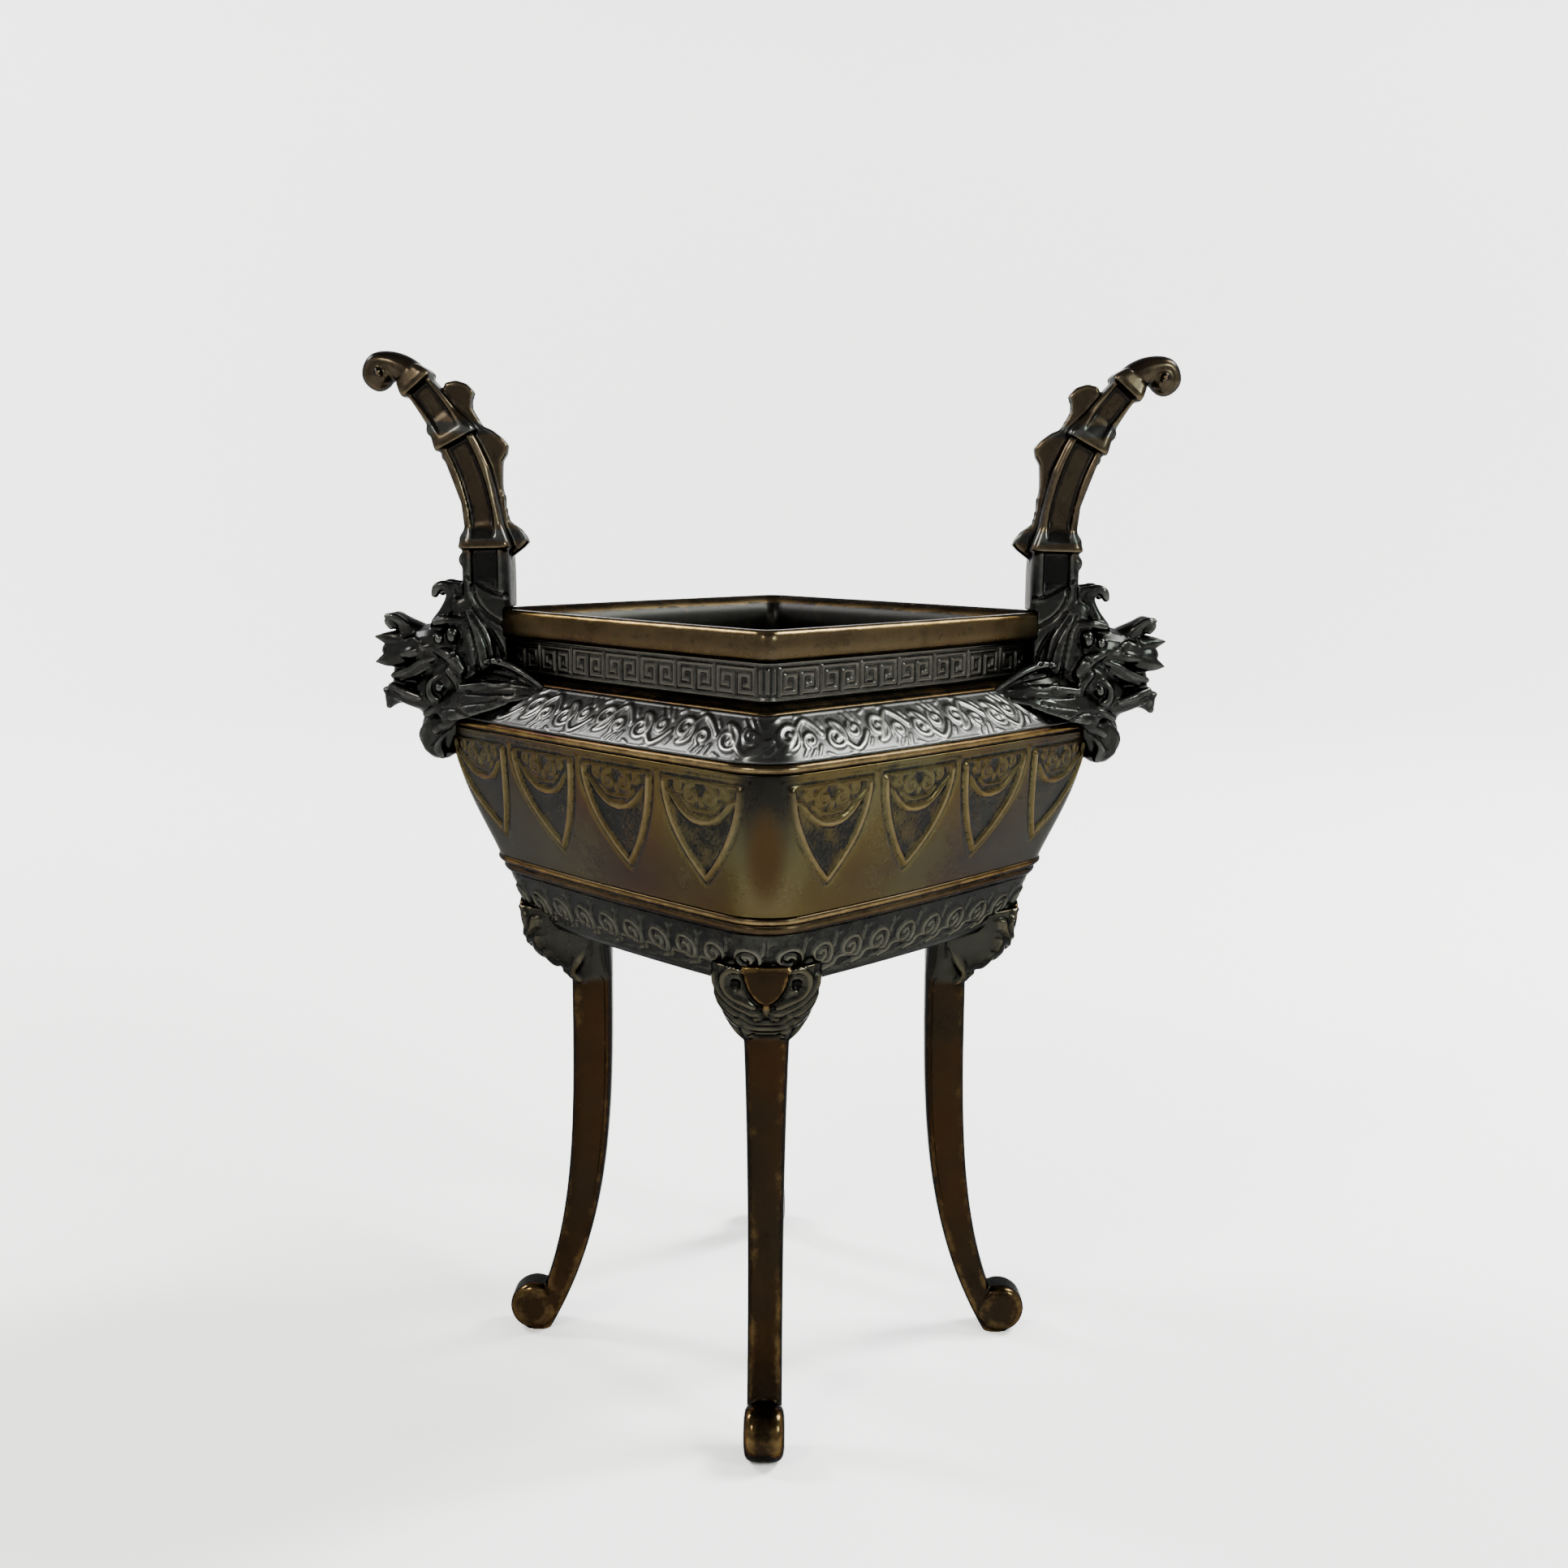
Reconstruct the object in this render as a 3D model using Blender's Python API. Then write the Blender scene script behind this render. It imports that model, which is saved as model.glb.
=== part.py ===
"""Four-cornered bronze censer with beast-head handles and masked legs.

Metres, +Z up, origin on the floor under the middle of the vessel. The vessel is square in plan and
its corners lie on the X and Y axes, so its front corner points along -Y. A "reach" is a distance
from the upright middle axis to a corner.
"""

from math import cos, pi, radians, sin, sqrt

import bmesh
import bpy
from mathutils import Matrix, Vector

# Heights of the vessel's zones, stacked from the floor up
LEG_HEIGHT = 0.1175
WAVE_BAND_HEIGHT = 0.0135
LOWER_RIB_HEIGHT = 0.0048
BELLY_HEIGHT = 0.0342
UPPER_RIB_HEIGHT = 0.0024
SHOULDER_HEIGHT = 0.0090
RIDGE_HEIGHT = 0.0020
NECK_HEIGHT = 0.0097
RIM_HEIGHT = 0.0069

# Corner reaches of the vessel's zones
BASE_REACH = 0.0615
WAVE_BAND_REACH = 0.0690
BELLY_FOOT_REACH = 0.0712
BELLY_TOP_REACH = 0.0828
SHOULDER_TOP_REACH = 0.0735
RIDGE_REACH = 0.0718
NECK_REACH = 0.0680
RIM_REACH = 0.0740
RIB_PROUD = 0.0014
BELLY_FULLNESS = 1.1

# The plan of the vessel: corner rounding, how far the sides bow, and the wall
BELLY_CORNER_RADIUS = 0.0130
NECK_CORNER_RADIUS = 0.0030
BELLY_BOW = 0.060
NECK_BOW = 0.030
WALL = 0.0029
FLOOR_THICKNESS = 0.0036
EDGE_ROUND = 0.0009

# Ornament raised on the vessel
ORNAMENT_SINK = 0.0008
LAPPETS_PER_SIDE = 4
LAPPET_WIDTH = 0.0245
LAPPET_LENGTH = 0.0260
LAPPET_TOP_GAP = 0.0016
LAPPET_BORDER = 0.0020
LAPPET_PROUD = 0.0009
WAVES_PER_SIDE = 10
WAVE_SIZE = 0.0066
WAVE_PROUD = 0.0008
CLOUD_ROLLS_PER_SIDE = 3
CLOUD_SWING = 0.0016
CLOUD_WIDTH = 0.0026
CLOUD_PROUD = 0.0009

# Clearance between castings that touch, and the plain ground under a beast's throat
FIT_GAP = 0.0003
SEAT_HALF_WIDTH = 0.0085
SEAT_FOOT = 0.1590

# Leg: a faceted post that leans out to a rolled toe, set in from the vessel's base corner
LEG_INSET = 0.0085
LEG_DEPTH = 0.0108
LEG_WIDTH = 0.0084
LEG_TOP_WIDTH = 0.0110
LEG_LEAN_IN = 0.0180
LEG_LEAN_OUT = 0.0143
LEG_LEAN_IN_POWER = 3.7
LEG_LEAN_OUT_POWER = 4.2
KNEE_HEIGHT = 0.0225
KNEE_RISE = 0.0040
KNEE_SETBACK = 0.0037
KNEE_WIDTH = 0.0270
TOE_THROW = 0.0118
TOE_RADIUS = 0.0069
TOE_WIDTH = 0.0102
TOE_FLAT = 0.0004

# Handle: a three-tiered shaft over the rim's corner that leans out to a volute
HANDLE_INSET = 0.0011
HANDLE_FOOT_DEPTH = 0.0124
HANDLE_FOOT_WIDTH = 0.0150
HANDLE_TOP_WIDTH = 0.0100
HANDLE_WAIST = 0.0022
HANDLE_LEAN = 0.0170
HANDLE_LEAN_POWER = 2.2
HANDLE_STRAIGHT = 0.0140
HANDLE_RISE = 0.0425
LEDGES = (0.05, 0.68, 1.0)
LEDGE_PROUD = 0.0009
PANEL_DEPTH = 0.0011
PANEL_WIDTH = 0.0058
WEB_THICKNESS = 0.0044
VOLUTE_RADIUS = 0.0051
VOLUTE_WIDTH = 0.0108
VOLUTE_THROW = 0.0090
VOLUTE_RISE = 0.0026

# Beast head at the root of the handle, sunk over the belly's corner
HEAD_CENTRE_DROP = 0.0105
HEAD_SINK = 0.0074
HEAD_LENGTH = 0.0280
HEAD_WIDTH = 0.0270
HEAD_HEIGHT = 0.0230

UNDERSIDE = LEG_HEIGHT
LOWER_RIB = UNDERSIDE + WAVE_BAND_HEIGHT
BELLY_FOOT = LOWER_RIB + LOWER_RIB_HEIGHT
BELLY_TOP = BELLY_FOOT + BELLY_HEIGHT
SHOULDER_FOOT = BELLY_TOP + UPPER_RIB_HEIGHT
SHOULDER_TOP = SHOULDER_FOOT + SHOULDER_HEIGHT
NECK_FOOT = SHOULDER_TOP + RIDGE_HEIGHT
NECK_TOP = NECK_FOOT + NECK_HEIGHT
RIM_TOP = NECK_TOP + RIM_HEIGHT
LEG_REACH = BASE_REACH - LEG_INSET
KNEE_REACH = WAVE_BAND_REACH - KNEE_SETBACK
TOE_REACH = LEG_REACH + TOE_THROW
HANDLE_REACH = RIM_REACH - HANDLE_INSET
HEAD_ROOT = BELLY_TOP_REACH - HEAD_SINK


def clear_scene():
    for old in list(bpy.data.objects):
        bpy.data.objects.remove(old, do_unlink=True)


def collection(name):
    made = bpy.data.collections.new(name)
    bpy.context.scene.collection.children.link(made)
    return made


def bronze(name, colour, roughness):
    material = bpy.data.materials.new(name)
    material.use_nodes = True
    shader = material.node_tree.nodes["Principled BSDF"]
    shader.inputs["Base Color"].default_value = (*colour, 1.0)
    shader.inputs["Metallic"].default_value = 0.9
    shader.inputs["Roughness"].default_value = roughness
    return material


def mesh_from(name, verts, faces):
    mesh = bpy.data.meshes.new(name)
    mesh.from_pydata([tuple(v) for v in verts], [], faces)
    work = bmesh.new()
    work.from_mesh(mesh)
    bmesh.ops.recalc_face_normals(work, faces=work.faces)
    work.to_mesh(mesh)
    work.free()
    return mesh


def loft(name, rings):
    """A closed skin over rings of equal length, with a flat face at each end."""
    count = len(rings[0])
    verts = [point for ring in rings for point in ring]
    faces = [list(range(count)), list(range(len(verts) - count, len(verts)))]
    for i in range(len(rings) - 1):
        for j in range(count):
            k = (j + 1) % count
            faces.append([i * count + j, i * count + k, (i + 1) * count + k, (i + 1) * count + j])
    return mesh_from(name, verts, faces)


def plate(name, outline, half_width):
    """An outline of (x, z) points made into a plate that is centred on the plane y = 0."""
    rings = [[Vector((x, side * half_width, z)) for x, z in outline] for side in (-1, 1)]
    return loft(name, rings)


def arc(centre, radius, first, last, steps):
    """Points on an arc in the plane y = 0, angles in degrees from +X towards +Z."""
    points = []
    for i in range(steps + 1):
        angle = radians(first + (last - first) * i / steps)
        points.append((centre[0] + radius * cos(angle), centre[1] + radius * sin(angle)))
    return points


def joined_mesh(name, meshes):
    work = bmesh.new()
    for mesh in meshes:
        work.from_mesh(mesh)
    whole = bpy.data.meshes.new(name)
    work.to_mesh(whole)
    work.free()
    return whole


def fused(name, solids, cutters, holder):
    """One mesh from overlapping solids, less the cutters."""
    base = bpy.data.objects.new(name, solids[0])
    holder.objects.link(base)
    groups = []
    for operation, meshes in (("UNION", solids[1:]), ("DIFFERENCE", cutters)):
        if not meshes:
            continue
        group = bpy.data.collections.new(f"{name}_{operation.lower()}")
        holder.children.link(group)
        for mesh in meshes:
            helper = bpy.data.objects.new(f"{name}_tool", mesh)
            helper.hide_render = True
            helper.display_type = "WIRE"
            group.objects.link(helper)
        step = base.modifiers.new(operation, "BOOLEAN")
        step.operation = operation
        step.solver = "EXACT"
        step.operand_type = "COLLECTION"
        step.collection = group
        groups.append(group)
    bpy.context.view_layer.update()
    seen = base.evaluated_get(bpy.context.evaluated_depsgraph_get())
    result = bpy.data.meshes.new_from_object(seen)
    for group in groups:
        for helper in list(group.objects):
            bpy.data.objects.remove(helper, do_unlink=True)
        bpy.data.collections.remove(group)
    bpy.data.objects.remove(base, do_unlink=True)
    return result


def place(name, mesh, material, holder, turn=0.0):
    item = bpy.data.objects.new(name, mesh)
    item.rotation_euler = (0.0, 0.0, turn)
    if not mesh.materials:
        mesh.materials.append(material)
    mesh.shade_smooth()
    mesh.set_sharp_from_angle(angle=radians(35))
    holder.objects.link(item)
    return item


# The vessel's plan and profile

def plan_arcs(reach, corner, bow):
    """Radius of the side's arc, its setback along the side's middle line, and the corner's turn."""
    turn = pi / 4 - bow
    side = (reach - corner) / (cos(turn) - sin(turn)) + corner
    setback = (side - corner) * sin(turn) / sin(pi / 4)
    return side, setback, turn


def half_side(reach, corner, bow):
    """Length along the plan from the middle of a side to a corner."""
    side, _, turn = plan_arcs(reach, corner, bow)
    return side * bow + corner * turn


def plan_point(along, reach, corner, bow):
    """Point and outward angle on the side that faces 45 degrees, at a length from its middle."""
    side, setback, turn = plan_arcs(reach, corner, bow)
    distance = abs(along)
    if distance <= side * bow:
        angle = pi / 4 - distance / side
        x = side * cos(angle) - setback * cos(pi / 4)
        y = side * sin(angle) - setback * sin(pi / 4)
    else:
        angle = turn - (distance - side * bow) / corner
        x = reach - corner + corner * cos(angle)
        y = corner * sin(angle)
    if along > 0:
        return y, x, pi / 2 - angle
    return x, y, angle


def belly_reach(share):
    swell = sin(share * pi / 2) ** BELLY_FULLNESS
    return BELLY_FOOT_REACH + (BELLY_TOP_REACH - BELLY_FOOT_REACH) * swell


def outer_profile():
    """Rows of height, reach, corner radius and bow, from the underside to the rim."""
    belly = (BELLY_CORNER_RADIUS, BELLY_BOW)
    neck = (NECK_CORNER_RADIUS, NECK_BOW)
    rows = [
        (UNDERSIDE, BASE_REACH, *belly),
        (UNDERSIDE + EDGE_ROUND, BASE_REACH + 2 * EDGE_ROUND, *belly),
        (LOWER_RIB, WAVE_BAND_REACH, *belly),
    ]
    bead = LOWER_RIB_HEIGHT / 2
    for i in range(2):
        foot = LOWER_RIB + i * bead
        reach = WAVE_BAND_REACH + (BELLY_FOOT_REACH - WAVE_BAND_REACH) * (i + 0.5) / 2
        rows.append((foot + 0.5 * bead, reach + RIB_PROUD, *belly))
        rows.append((foot + bead, reach + 0.3 * RIB_PROUD, *belly))
    steps = 4
    for i in range(1, steps + 1):
        share = i / steps
        rows.append((BELLY_FOOT + BELLY_HEIGHT * share, belly_reach(share), *belly))
    for share in (0.25, 0.75):
        rows.append((BELLY_TOP + share * UPPER_RIB_HEIGHT, BELLY_TOP_REACH + RIB_PROUD, *belly))
    rows.append((SHOULDER_FOOT, BELLY_TOP_REACH - 0.3 * RIB_PROUD, *belly))
    middle_corner = (BELLY_CORNER_RADIUS + NECK_CORNER_RADIUS) / 2
    middle_reach = SHOULDER_TOP_REACH + 0.62 * (BELLY_TOP_REACH - SHOULDER_TOP_REACH)
    rows.append((SHOULDER_FOOT + SHOULDER_HEIGHT / 2, middle_reach, middle_corner, BELLY_BOW))
    rows.append((SHOULDER_TOP, SHOULDER_TOP_REACH, *neck))
    rows.append((SHOULDER_TOP + RIDGE_HEIGHT / 2, RIDGE_REACH, *neck))
    rows.append((NECK_FOOT, NECK_REACH, *neck))
    rows.append((NECK_TOP, NECK_REACH, *neck))
    rows.append((NECK_TOP + EDGE_ROUND / 2, RIM_REACH - EDGE_ROUND, *neck))
    rows.append((NECK_TOP + 2 * EDGE_ROUND, RIM_REACH, *neck))
    rows.append((RIM_TOP - EDGE_ROUND, RIM_REACH, *neck))
    rows.append((RIM_TOP, RIM_REACH - EDGE_ROUND, *neck))
    return rows


def inner_profile():
    """The cavity's rows, from the rim down to the floor, a wall inside the outer ones."""
    inset = WALL * sqrt(2)
    belly = (BELLY_CORNER_RADIUS, BELLY_BOW)
    neck = (NECK_CORNER_RADIUS, NECK_BOW)
    floor = UNDERSIDE + FLOOR_THICKNESS
    rows = [
        (RIM_TOP, RIM_REACH - inset, *neck),
        (NECK_TOP, NECK_REACH - inset, *neck),
        (SHOULDER_TOP, NECK_REACH - inset, *neck),
        (BELLY_TOP, BELLY_TOP_REACH - 1.15 * inset, *belly),
    ]
    rows.append((BELLY_FOOT + BELLY_HEIGHT / 2, belly_reach(0.5) - inset, *belly))
    rows.append((LOWER_RIB, WAVE_BAND_REACH - inset, *belly))
    rows.append((floor, BASE_REACH - inset, *belly))
    return rows


def plan_ring(height, reach, corner, bow):
    """One ring of the vessel, four corner steps and two side steps on each quarter."""
    side, _, turn = plan_arcs(reach, corner, bow)
    half = half_side(reach, corner, bow)
    lengths = [-half + corner * turn * i / 2 for i in range(3)]
    lengths += [0.0]
    lengths += [-length for length in reversed(lengths[1:3])]
    ring = []
    for quarter in range(4):
        swing = Matrix.Rotation(quarter * pi / 2, 3, "Z")
        for length in lengths:
            x, y, _ = plan_point(length, reach, corner, bow)
            ring.append(swing @ Vector((x, y, height)))
    return ring


def profile_at(height):
    """Reach, corner radius and bow at a height, read between the profile's rows."""
    rows = outer_profile()
    for low, high in zip(rows, rows[1:]):
        if low[0] <= height <= high[0]:
            share = (height - low[0]) / max(high[0] - low[0], 1e-9)
            return [a + (b - a) * share for a, b in zip(low[1:], high[1:])]
    raise ValueError("height is off the vessel")


def on_vessel(quarter, share, height, lift):
    """Point over a side at a share of its half length and a height, lifted off the surface."""
    reach, corner, bow = profile_at(height)
    along = share * half_side(reach, corner, bow)
    x, y, angle = plan_point(along, reach, corner, bow)
    step = EDGE_ROUND / 4
    slope = (profile_at(height + step)[0] - profile_at(height - step)[0]) / (2 * step)
    normal = Vector((cos(angle), sin(angle), -slope / sqrt(2))).normalized()
    point = Vector((x, y, height)) + lift * normal
    return Matrix.Rotation(quarter * pi / 2, 3, "Z") @ point


def raised_frame(quarter, outer, inner, proud):
    """A closed border between two outlines of (share, height) points, raised off the vessel."""
    lifts = (-ORNAMENT_SINK, proud)
    rings = []
    for outline, order in ((outer, lifts), (inner, lifts[::-1])):
        for lift in order:
            rings.append([on_vessel(quarter, u, h, lift) for u, h in outline])
    count = len(outer)
    verts = [point for ring in rings for point in ring]
    faces = []
    for i in range(4):
        for j in range(count):
            k = (j + 1) % count
            n = (i + 1) % 4
            faces.append([i * count + j, i * count + k, n * count + k, n * count + j])
    return mesh_from("frame", verts, faces)


def raised_boss(quarter, outline, proud):
    rings = [
        [on_vessel(quarter, u, h, lift) for u, h in outline] for lift in (-ORNAMENT_SINK, proud)
    ]
    return loft("boss", rings)


def lappet(quarter, middle):
    """A pointed leaf border that hangs under the upper rib."""
    top = BELLY_TOP - LAPPET_TOP_GAP
    half = half_side(BELLY_TOP_REACH, BELLY_CORNER_RADIUS, BELLY_BOW)
    outlines = []
    for inset in (0.0, LAPPET_BORDER):
        width = (LAPPET_WIDTH / 2 - inset) / half
        length = LAPPET_LENGTH - inset * 2.2
        high = top - inset * 0.6
        left = []
        for drop in (0.0, 0.35, 0.7):
            left.append((-width * (1 - drop**1.9), high - drop * (length - inset * 0.6)))
        right = [(-u, h) for u, h in reversed(left)]
        tip = [(0.0, top - length)]
        outlines.append([(middle + u, h) for u, h in left + tip + right])
    return raised_frame(quarter, *outlines, LAPPET_PROUD)


def wave(quarter, middle):
    """A leaning comma of the running wave band."""
    height = UNDERSIDE + 0.62 * WAVE_BAND_HEIGHT
    half = half_side(WAVE_BAND_REACH, BELLY_CORNER_RADIUS, BELLY_BOW)
    outline = []
    for degrees, size in ((5, 1.0), (68, 1.4), (160, 0.8), (275, 1.0)):
        angle = radians(degrees)
        reach = size * WAVE_SIZE / 2
        outline.append((middle + reach * cos(angle) / half, height + reach * sin(angle)))
    return raised_boss(quarter, outline, WAVE_PROUD)


def running_cloud(quarter, first, last):
    """A ribbon that rolls up and down along the shoulder between two shares of a side."""
    middle = SHOULDER_FOOT + SHOULDER_HEIGHT / 2
    steps = round(abs(last - first) * CLOUD_ROLLS_PER_SIDE * 2)
    rings = []
    for i in range(steps + 1):
        share = first + (last - first) * i / steps
        height = middle + CLOUD_SWING * (-1) ** i
        corners = ((-1, -ORNAMENT_SINK), (-1, CLOUD_PROUD), (1, CLOUD_PROUD), (1, -ORNAMENT_SINK))
        rings.append([
            on_vessel(quarter, share, height + side * CLOUD_WIDTH / 2, lift) for side, lift in corners
        ])
    return loft("cloud", rings)


def spaced(count):
    """Middles of equal lengths of a side, as shares from -1 to 1."""
    return [(2 * i + 1) / count - 1 for i in range(count)]


def handle_seat():
    """The plain ground left under each beast's throat, where no ornament is cast."""
    depth = 2 * (RIM_REACH - WALL)
    length = 2 * (BELLY_TOP_REACH + depth)
    size = (length, 2 * (SEAT_HALF_WIDTH + FIT_GAP), depth, 1.0)
    work = bmesh.new()
    bmesh.ops.create_cube(work, size=1.0, matrix=Matrix.Diagonal(size))
    bmesh.ops.translate(work, verts=work.verts, vec=(0, 0, SEAT_FOOT + depth / 2))
    mesh = bpy.data.meshes.new("seat")
    work.to_mesh(mesh)
    work.free()
    return mesh


def vessel_mesh(holder):
    rows = outer_profile() + inner_profile()
    body = loft("vessel", [plan_ring(*row) for row in rows])
    leaves, ornament = [], []
    for quarter in range(4):
        handle_end = -1 if quarter % 2 == 0 else 1
        for middle in spaced(LAPPETS_PER_SIDE):
            leaves.append(lappet(quarter, middle))
        for middle in spaced(WAVES_PER_SIDE):
            ornament.append(wave(quarter, middle))
        ornament.append(running_cloud(quarter, 0.42 * handle_end, -0.94 * handle_end))
    leaves = fused("lappets", [joined_mesh("leaves", leaves)], [handle_seat()], holder)
    return fused("vessel", [body, joined_mesh("ornament", [leaves, *ornament])], [], holder)


def vessel_envelope():
    """The vessel's outside, filled and a fit gap larger, for cutting what seats on it."""
    rows = []
    for height, reach, corner, bow in outer_profile():
        rows.append((height, reach + FIT_GAP * sqrt(2), corner + FIT_GAP, bow))
    rows[0] = (UNDERSIDE - FIT_GAP, *rows[0][1:])
    rows[-1] = (RIM_TOP + FIT_GAP, *rows[-1][1:])
    return loft("envelope", [plan_ring(*row) for row in rows])


# Legs

def leg_edges(height):
    """Inner and outer reach of the post at a height."""
    share = 1 - height / LEG_HEIGHT
    inner = LEG_REACH - LEG_DEPTH + LEG_LEAN_IN * share**LEG_LEAN_IN_POWER
    outer = LEG_REACH + LEG_LEAN_OUT * share**LEG_LEAN_OUT_POWER
    return inner, outer


def leg_ring(height, inner, outer, back_width, front_width):
    """Ten points: a narrow bevelled back and a rounded front."""
    depth = outer - inner
    back, front = back_width / 2, front_width / 2
    halves = [
        (inner, 0.55 * back),
        (inner + 0.18 * depth, back),
        (inner + 0.52 * depth, back),
        (inner + 0.72 * depth, front),
        (outer - 0.02 * depth, 0.48 * front),
    ]
    ring = [Vector((x, y, height)) for x, y in halves]
    return ring + [Vector((x, -y, height)) for x, y in reversed(halves)]


def knee_size(share):
    """Reach and width of the knee at a share of its height below its top."""
    reach = LEG_REACH + (1 - share**3.2) ** 2.2 * (KNEE_REACH - LEG_REACH)
    width = LEG_TOP_WIDTH + (1 - share**2) ** 2.4 * (KNEE_WIDTH - LEG_TOP_WIDTH)
    return reach, width


def leg_rings():
    top = LEG_HEIGHT + KNEE_RISE
    knee_foot = top - KNEE_HEIGHT
    rings = []
    for share in (0.0, 0.25, 0.48, 0.68, 0.86):
        height = top - share * KNEE_HEIGHT
        inner, _ = leg_edges(min(height, LEG_HEIGHT))
        reach, width = knee_size(share)
        rings.append(leg_ring(height, inner, reach, LEG_TOP_WIDTH, width))
    for share in (0.0, 0.25, 0.55, 0.76, 0.91, 1.0):
        height = knee_foot * (1 - share)
        inner, outer = leg_edges(height)
        width = LEG_WIDTH + (LEG_TOP_WIDTH - LEG_WIDTH) * (1 - share) ** 3.2
        rings.append(leg_ring(height, inner, outer, width, width))
    return rings


def toe_mesh():
    """The rolled toe: a barrel across the foot, flat where it stands."""
    rings = []
    middle = TOE_RADIUS - TOE_FLAT
    for across, size in ((-1.0, 0.74), (-0.62, 1.0), (0.62, 1.0), (1.0, 0.74)):
        outline = arc((TOE_REACH, middle), TOE_RADIUS * size, 18, 342, 9)
        rings.append([Vector((x, across * TOE_WIDTH / 2, max(z, 0.0))) for x, z in outline])
    return loft("toe", rings)


def knee_surface(share, side):
    """Point on the knee's front at a share of its height below its top and a share across it."""
    reach, width = knee_size(share)
    setback = 0.26 * (reach - LEG_REACH + LEG_DEPTH) * max(0.0, abs(side) - 0.48) / 0.52
    return Vector((reach - setback, side * width / 2, LEG_HEIGHT + KNEE_RISE - share * KNEE_HEIGHT))


def ridge(points, radius):
    """A four-sided bar through points, thin at both ends."""
    rings = []
    for i, point in enumerate(points):
        before = points[max(i - 1, 0)]
        after = points[min(i + 1, len(points) - 1)]
        along = (after - before).normalized()
        out = Vector((1, 0, 0)) - along * along.x
        out.normalize()
        side = along.cross(out)
        size = radius * (0.45 if i in (0, len(points) - 1) else 1.0)
        rings.append([point + size * w for w in (out, side, -out, -side)])
    return loft("ridge", rings)


def boss(centre, radii):
    work = bmesh.new()
    stretch = Matrix.Diagonal((*radii, 1.0))
    bmesh.ops.create_icosphere(work, subdivisions=1, radius=1.0, matrix=Matrix.Translation(centre) @ stretch)
    mesh = bpy.data.meshes.new("boss")
    work.to_mesh(mesh)
    work.free()
    return mesh


def mask_parts():
    """Raised features of the beast mask on the knee: forehead, lip, brows and eyes."""
    unit = KNEE_WIDTH / 10
    forehead = [knee_surface(share, 0.0) for share in (0.10, 0.28, 0.52)]
    lip = [knee_surface(share, side) for share, side in ((0.60, -0.6), (0.68, 0.0), (0.60, 0.6))]
    parts = [ridge(forehead, 0.50 * unit), ridge(lip, 0.34 * unit)]
    for side in (-1, 1):
        brow = [knee_surface(share, side * across) for share, across in
                ((0.38, 0.16), (0.26, 0.46), (0.20, 0.80))]
        parts.append(ridge(brow, 0.32 * unit))
        parts.append(boss(knee_surface(0.44, 0.50 * side), (0.3 * unit, 0.6 * unit, 0.5 * unit)))
    return parts


def leg_mesh(holder):
    solids = [loft("post", leg_rings()), toe_mesh(), *mask_parts()]
    return fused("leg", solids, [vessel_envelope()], holder)


# Handles

def shaft_point(share):
    """Middle of the shaft: upright to the first ledge, then leaning out. Share 0 is the rim."""
    straight = HANDLE_STRAIGHT
    height = RIM_TOP + straight + share * HANDLE_RISE
    lean = HANDLE_LEAN * max(share, 0.0) ** HANDLE_LEAN_POWER
    return HANDLE_REACH + lean, height


def shaft_frame(share):
    """Middle, direction along the shaft and direction out of its outer side."""
    step = 0.01
    x0, z0 = shaft_point(share - step)
    x1, z1 = shaft_point(share + step)
    along = Vector((x1 - x0, 0, z1 - z0)).normalized()
    x, z = shaft_point(share)
    return Vector((x, 0, z)), along, Vector((along.z, 0, -along.x))


def shaft_ring(share, depth, width):
    """A bevelled rectangle across the shaft."""
    middle, _, out = shaft_frame(share)
    bevel = 0.16 * width
    half_depth, half_width = depth / 2, width / 2
    corners = [
        (half_depth - bevel, half_width), (half_depth, half_width - bevel),
        (half_depth, bevel - half_width), (half_depth - bevel, -half_width),
        (bevel - half_depth, -half_width), (-half_depth, bevel - half_width),
        (-half_depth, half_width - bevel), (bevel - half_depth, half_width),
    ]
    return [middle + out * a + Vector((0, b, 0)) for a, b in corners]


def shaft_size(share):
    """Depth and width of the shaft, which tapers from its foot to the volute."""
    rise = min(max(share, 0.0), 1.0)
    depth = HANDLE_FOOT_DEPTH * (1 - 0.42 * rise**1.6) - HANDLE_WAIST * sin(pi * min(rise / 0.5, 1.0))
    width = HANDLE_FOOT_WIDTH + (HANDLE_TOP_WIDTH - HANDLE_FOOT_WIDTH) * rise
    return depth, width


def shaft_mesh():
    foot = -(HANDLE_STRAIGHT + RIM_TOP - SHOULDER_TOP - RIDGE_HEIGHT / 2) / HANDLE_RISE
    stations = [(foot, 0.0)]
    for i, ledge in enumerate(LEDGES):
        taper = 0.11 if i < 2 else 0.05
        stations += [(ledge - 0.012, 0.0), (ledge, LEDGE_PROUD), (ledge + taper, 0.0)]
    stations.insert(4, (0.40, 0.0))
    rings = []
    for share, proud in stations:
        depth, width = shaft_size(share)
        rings.append(shaft_ring(share, depth + 2 * proud, width + 2 * proud))
    neck = rings[-1]
    volute = volute_centre()
    middle, along, _ = shaft_frame(1.05)
    top = volute + VOLUTE_RADIUS * Vector((-0.16, 0, 0.40))
    for reach in (0.5, 0.95):
        shift = (top - middle) * reach
        rings.append([point + shift for point in neck])
    return loft("shaft", rings)


def volute_centre():
    """The scroll at the handle's end lies a little out of and above the last ledge."""
    middle, _, _ = shaft_frame(1.0)
    return middle + Vector((VOLUTE_THROW, 0, VOLUTE_RISE))


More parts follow.
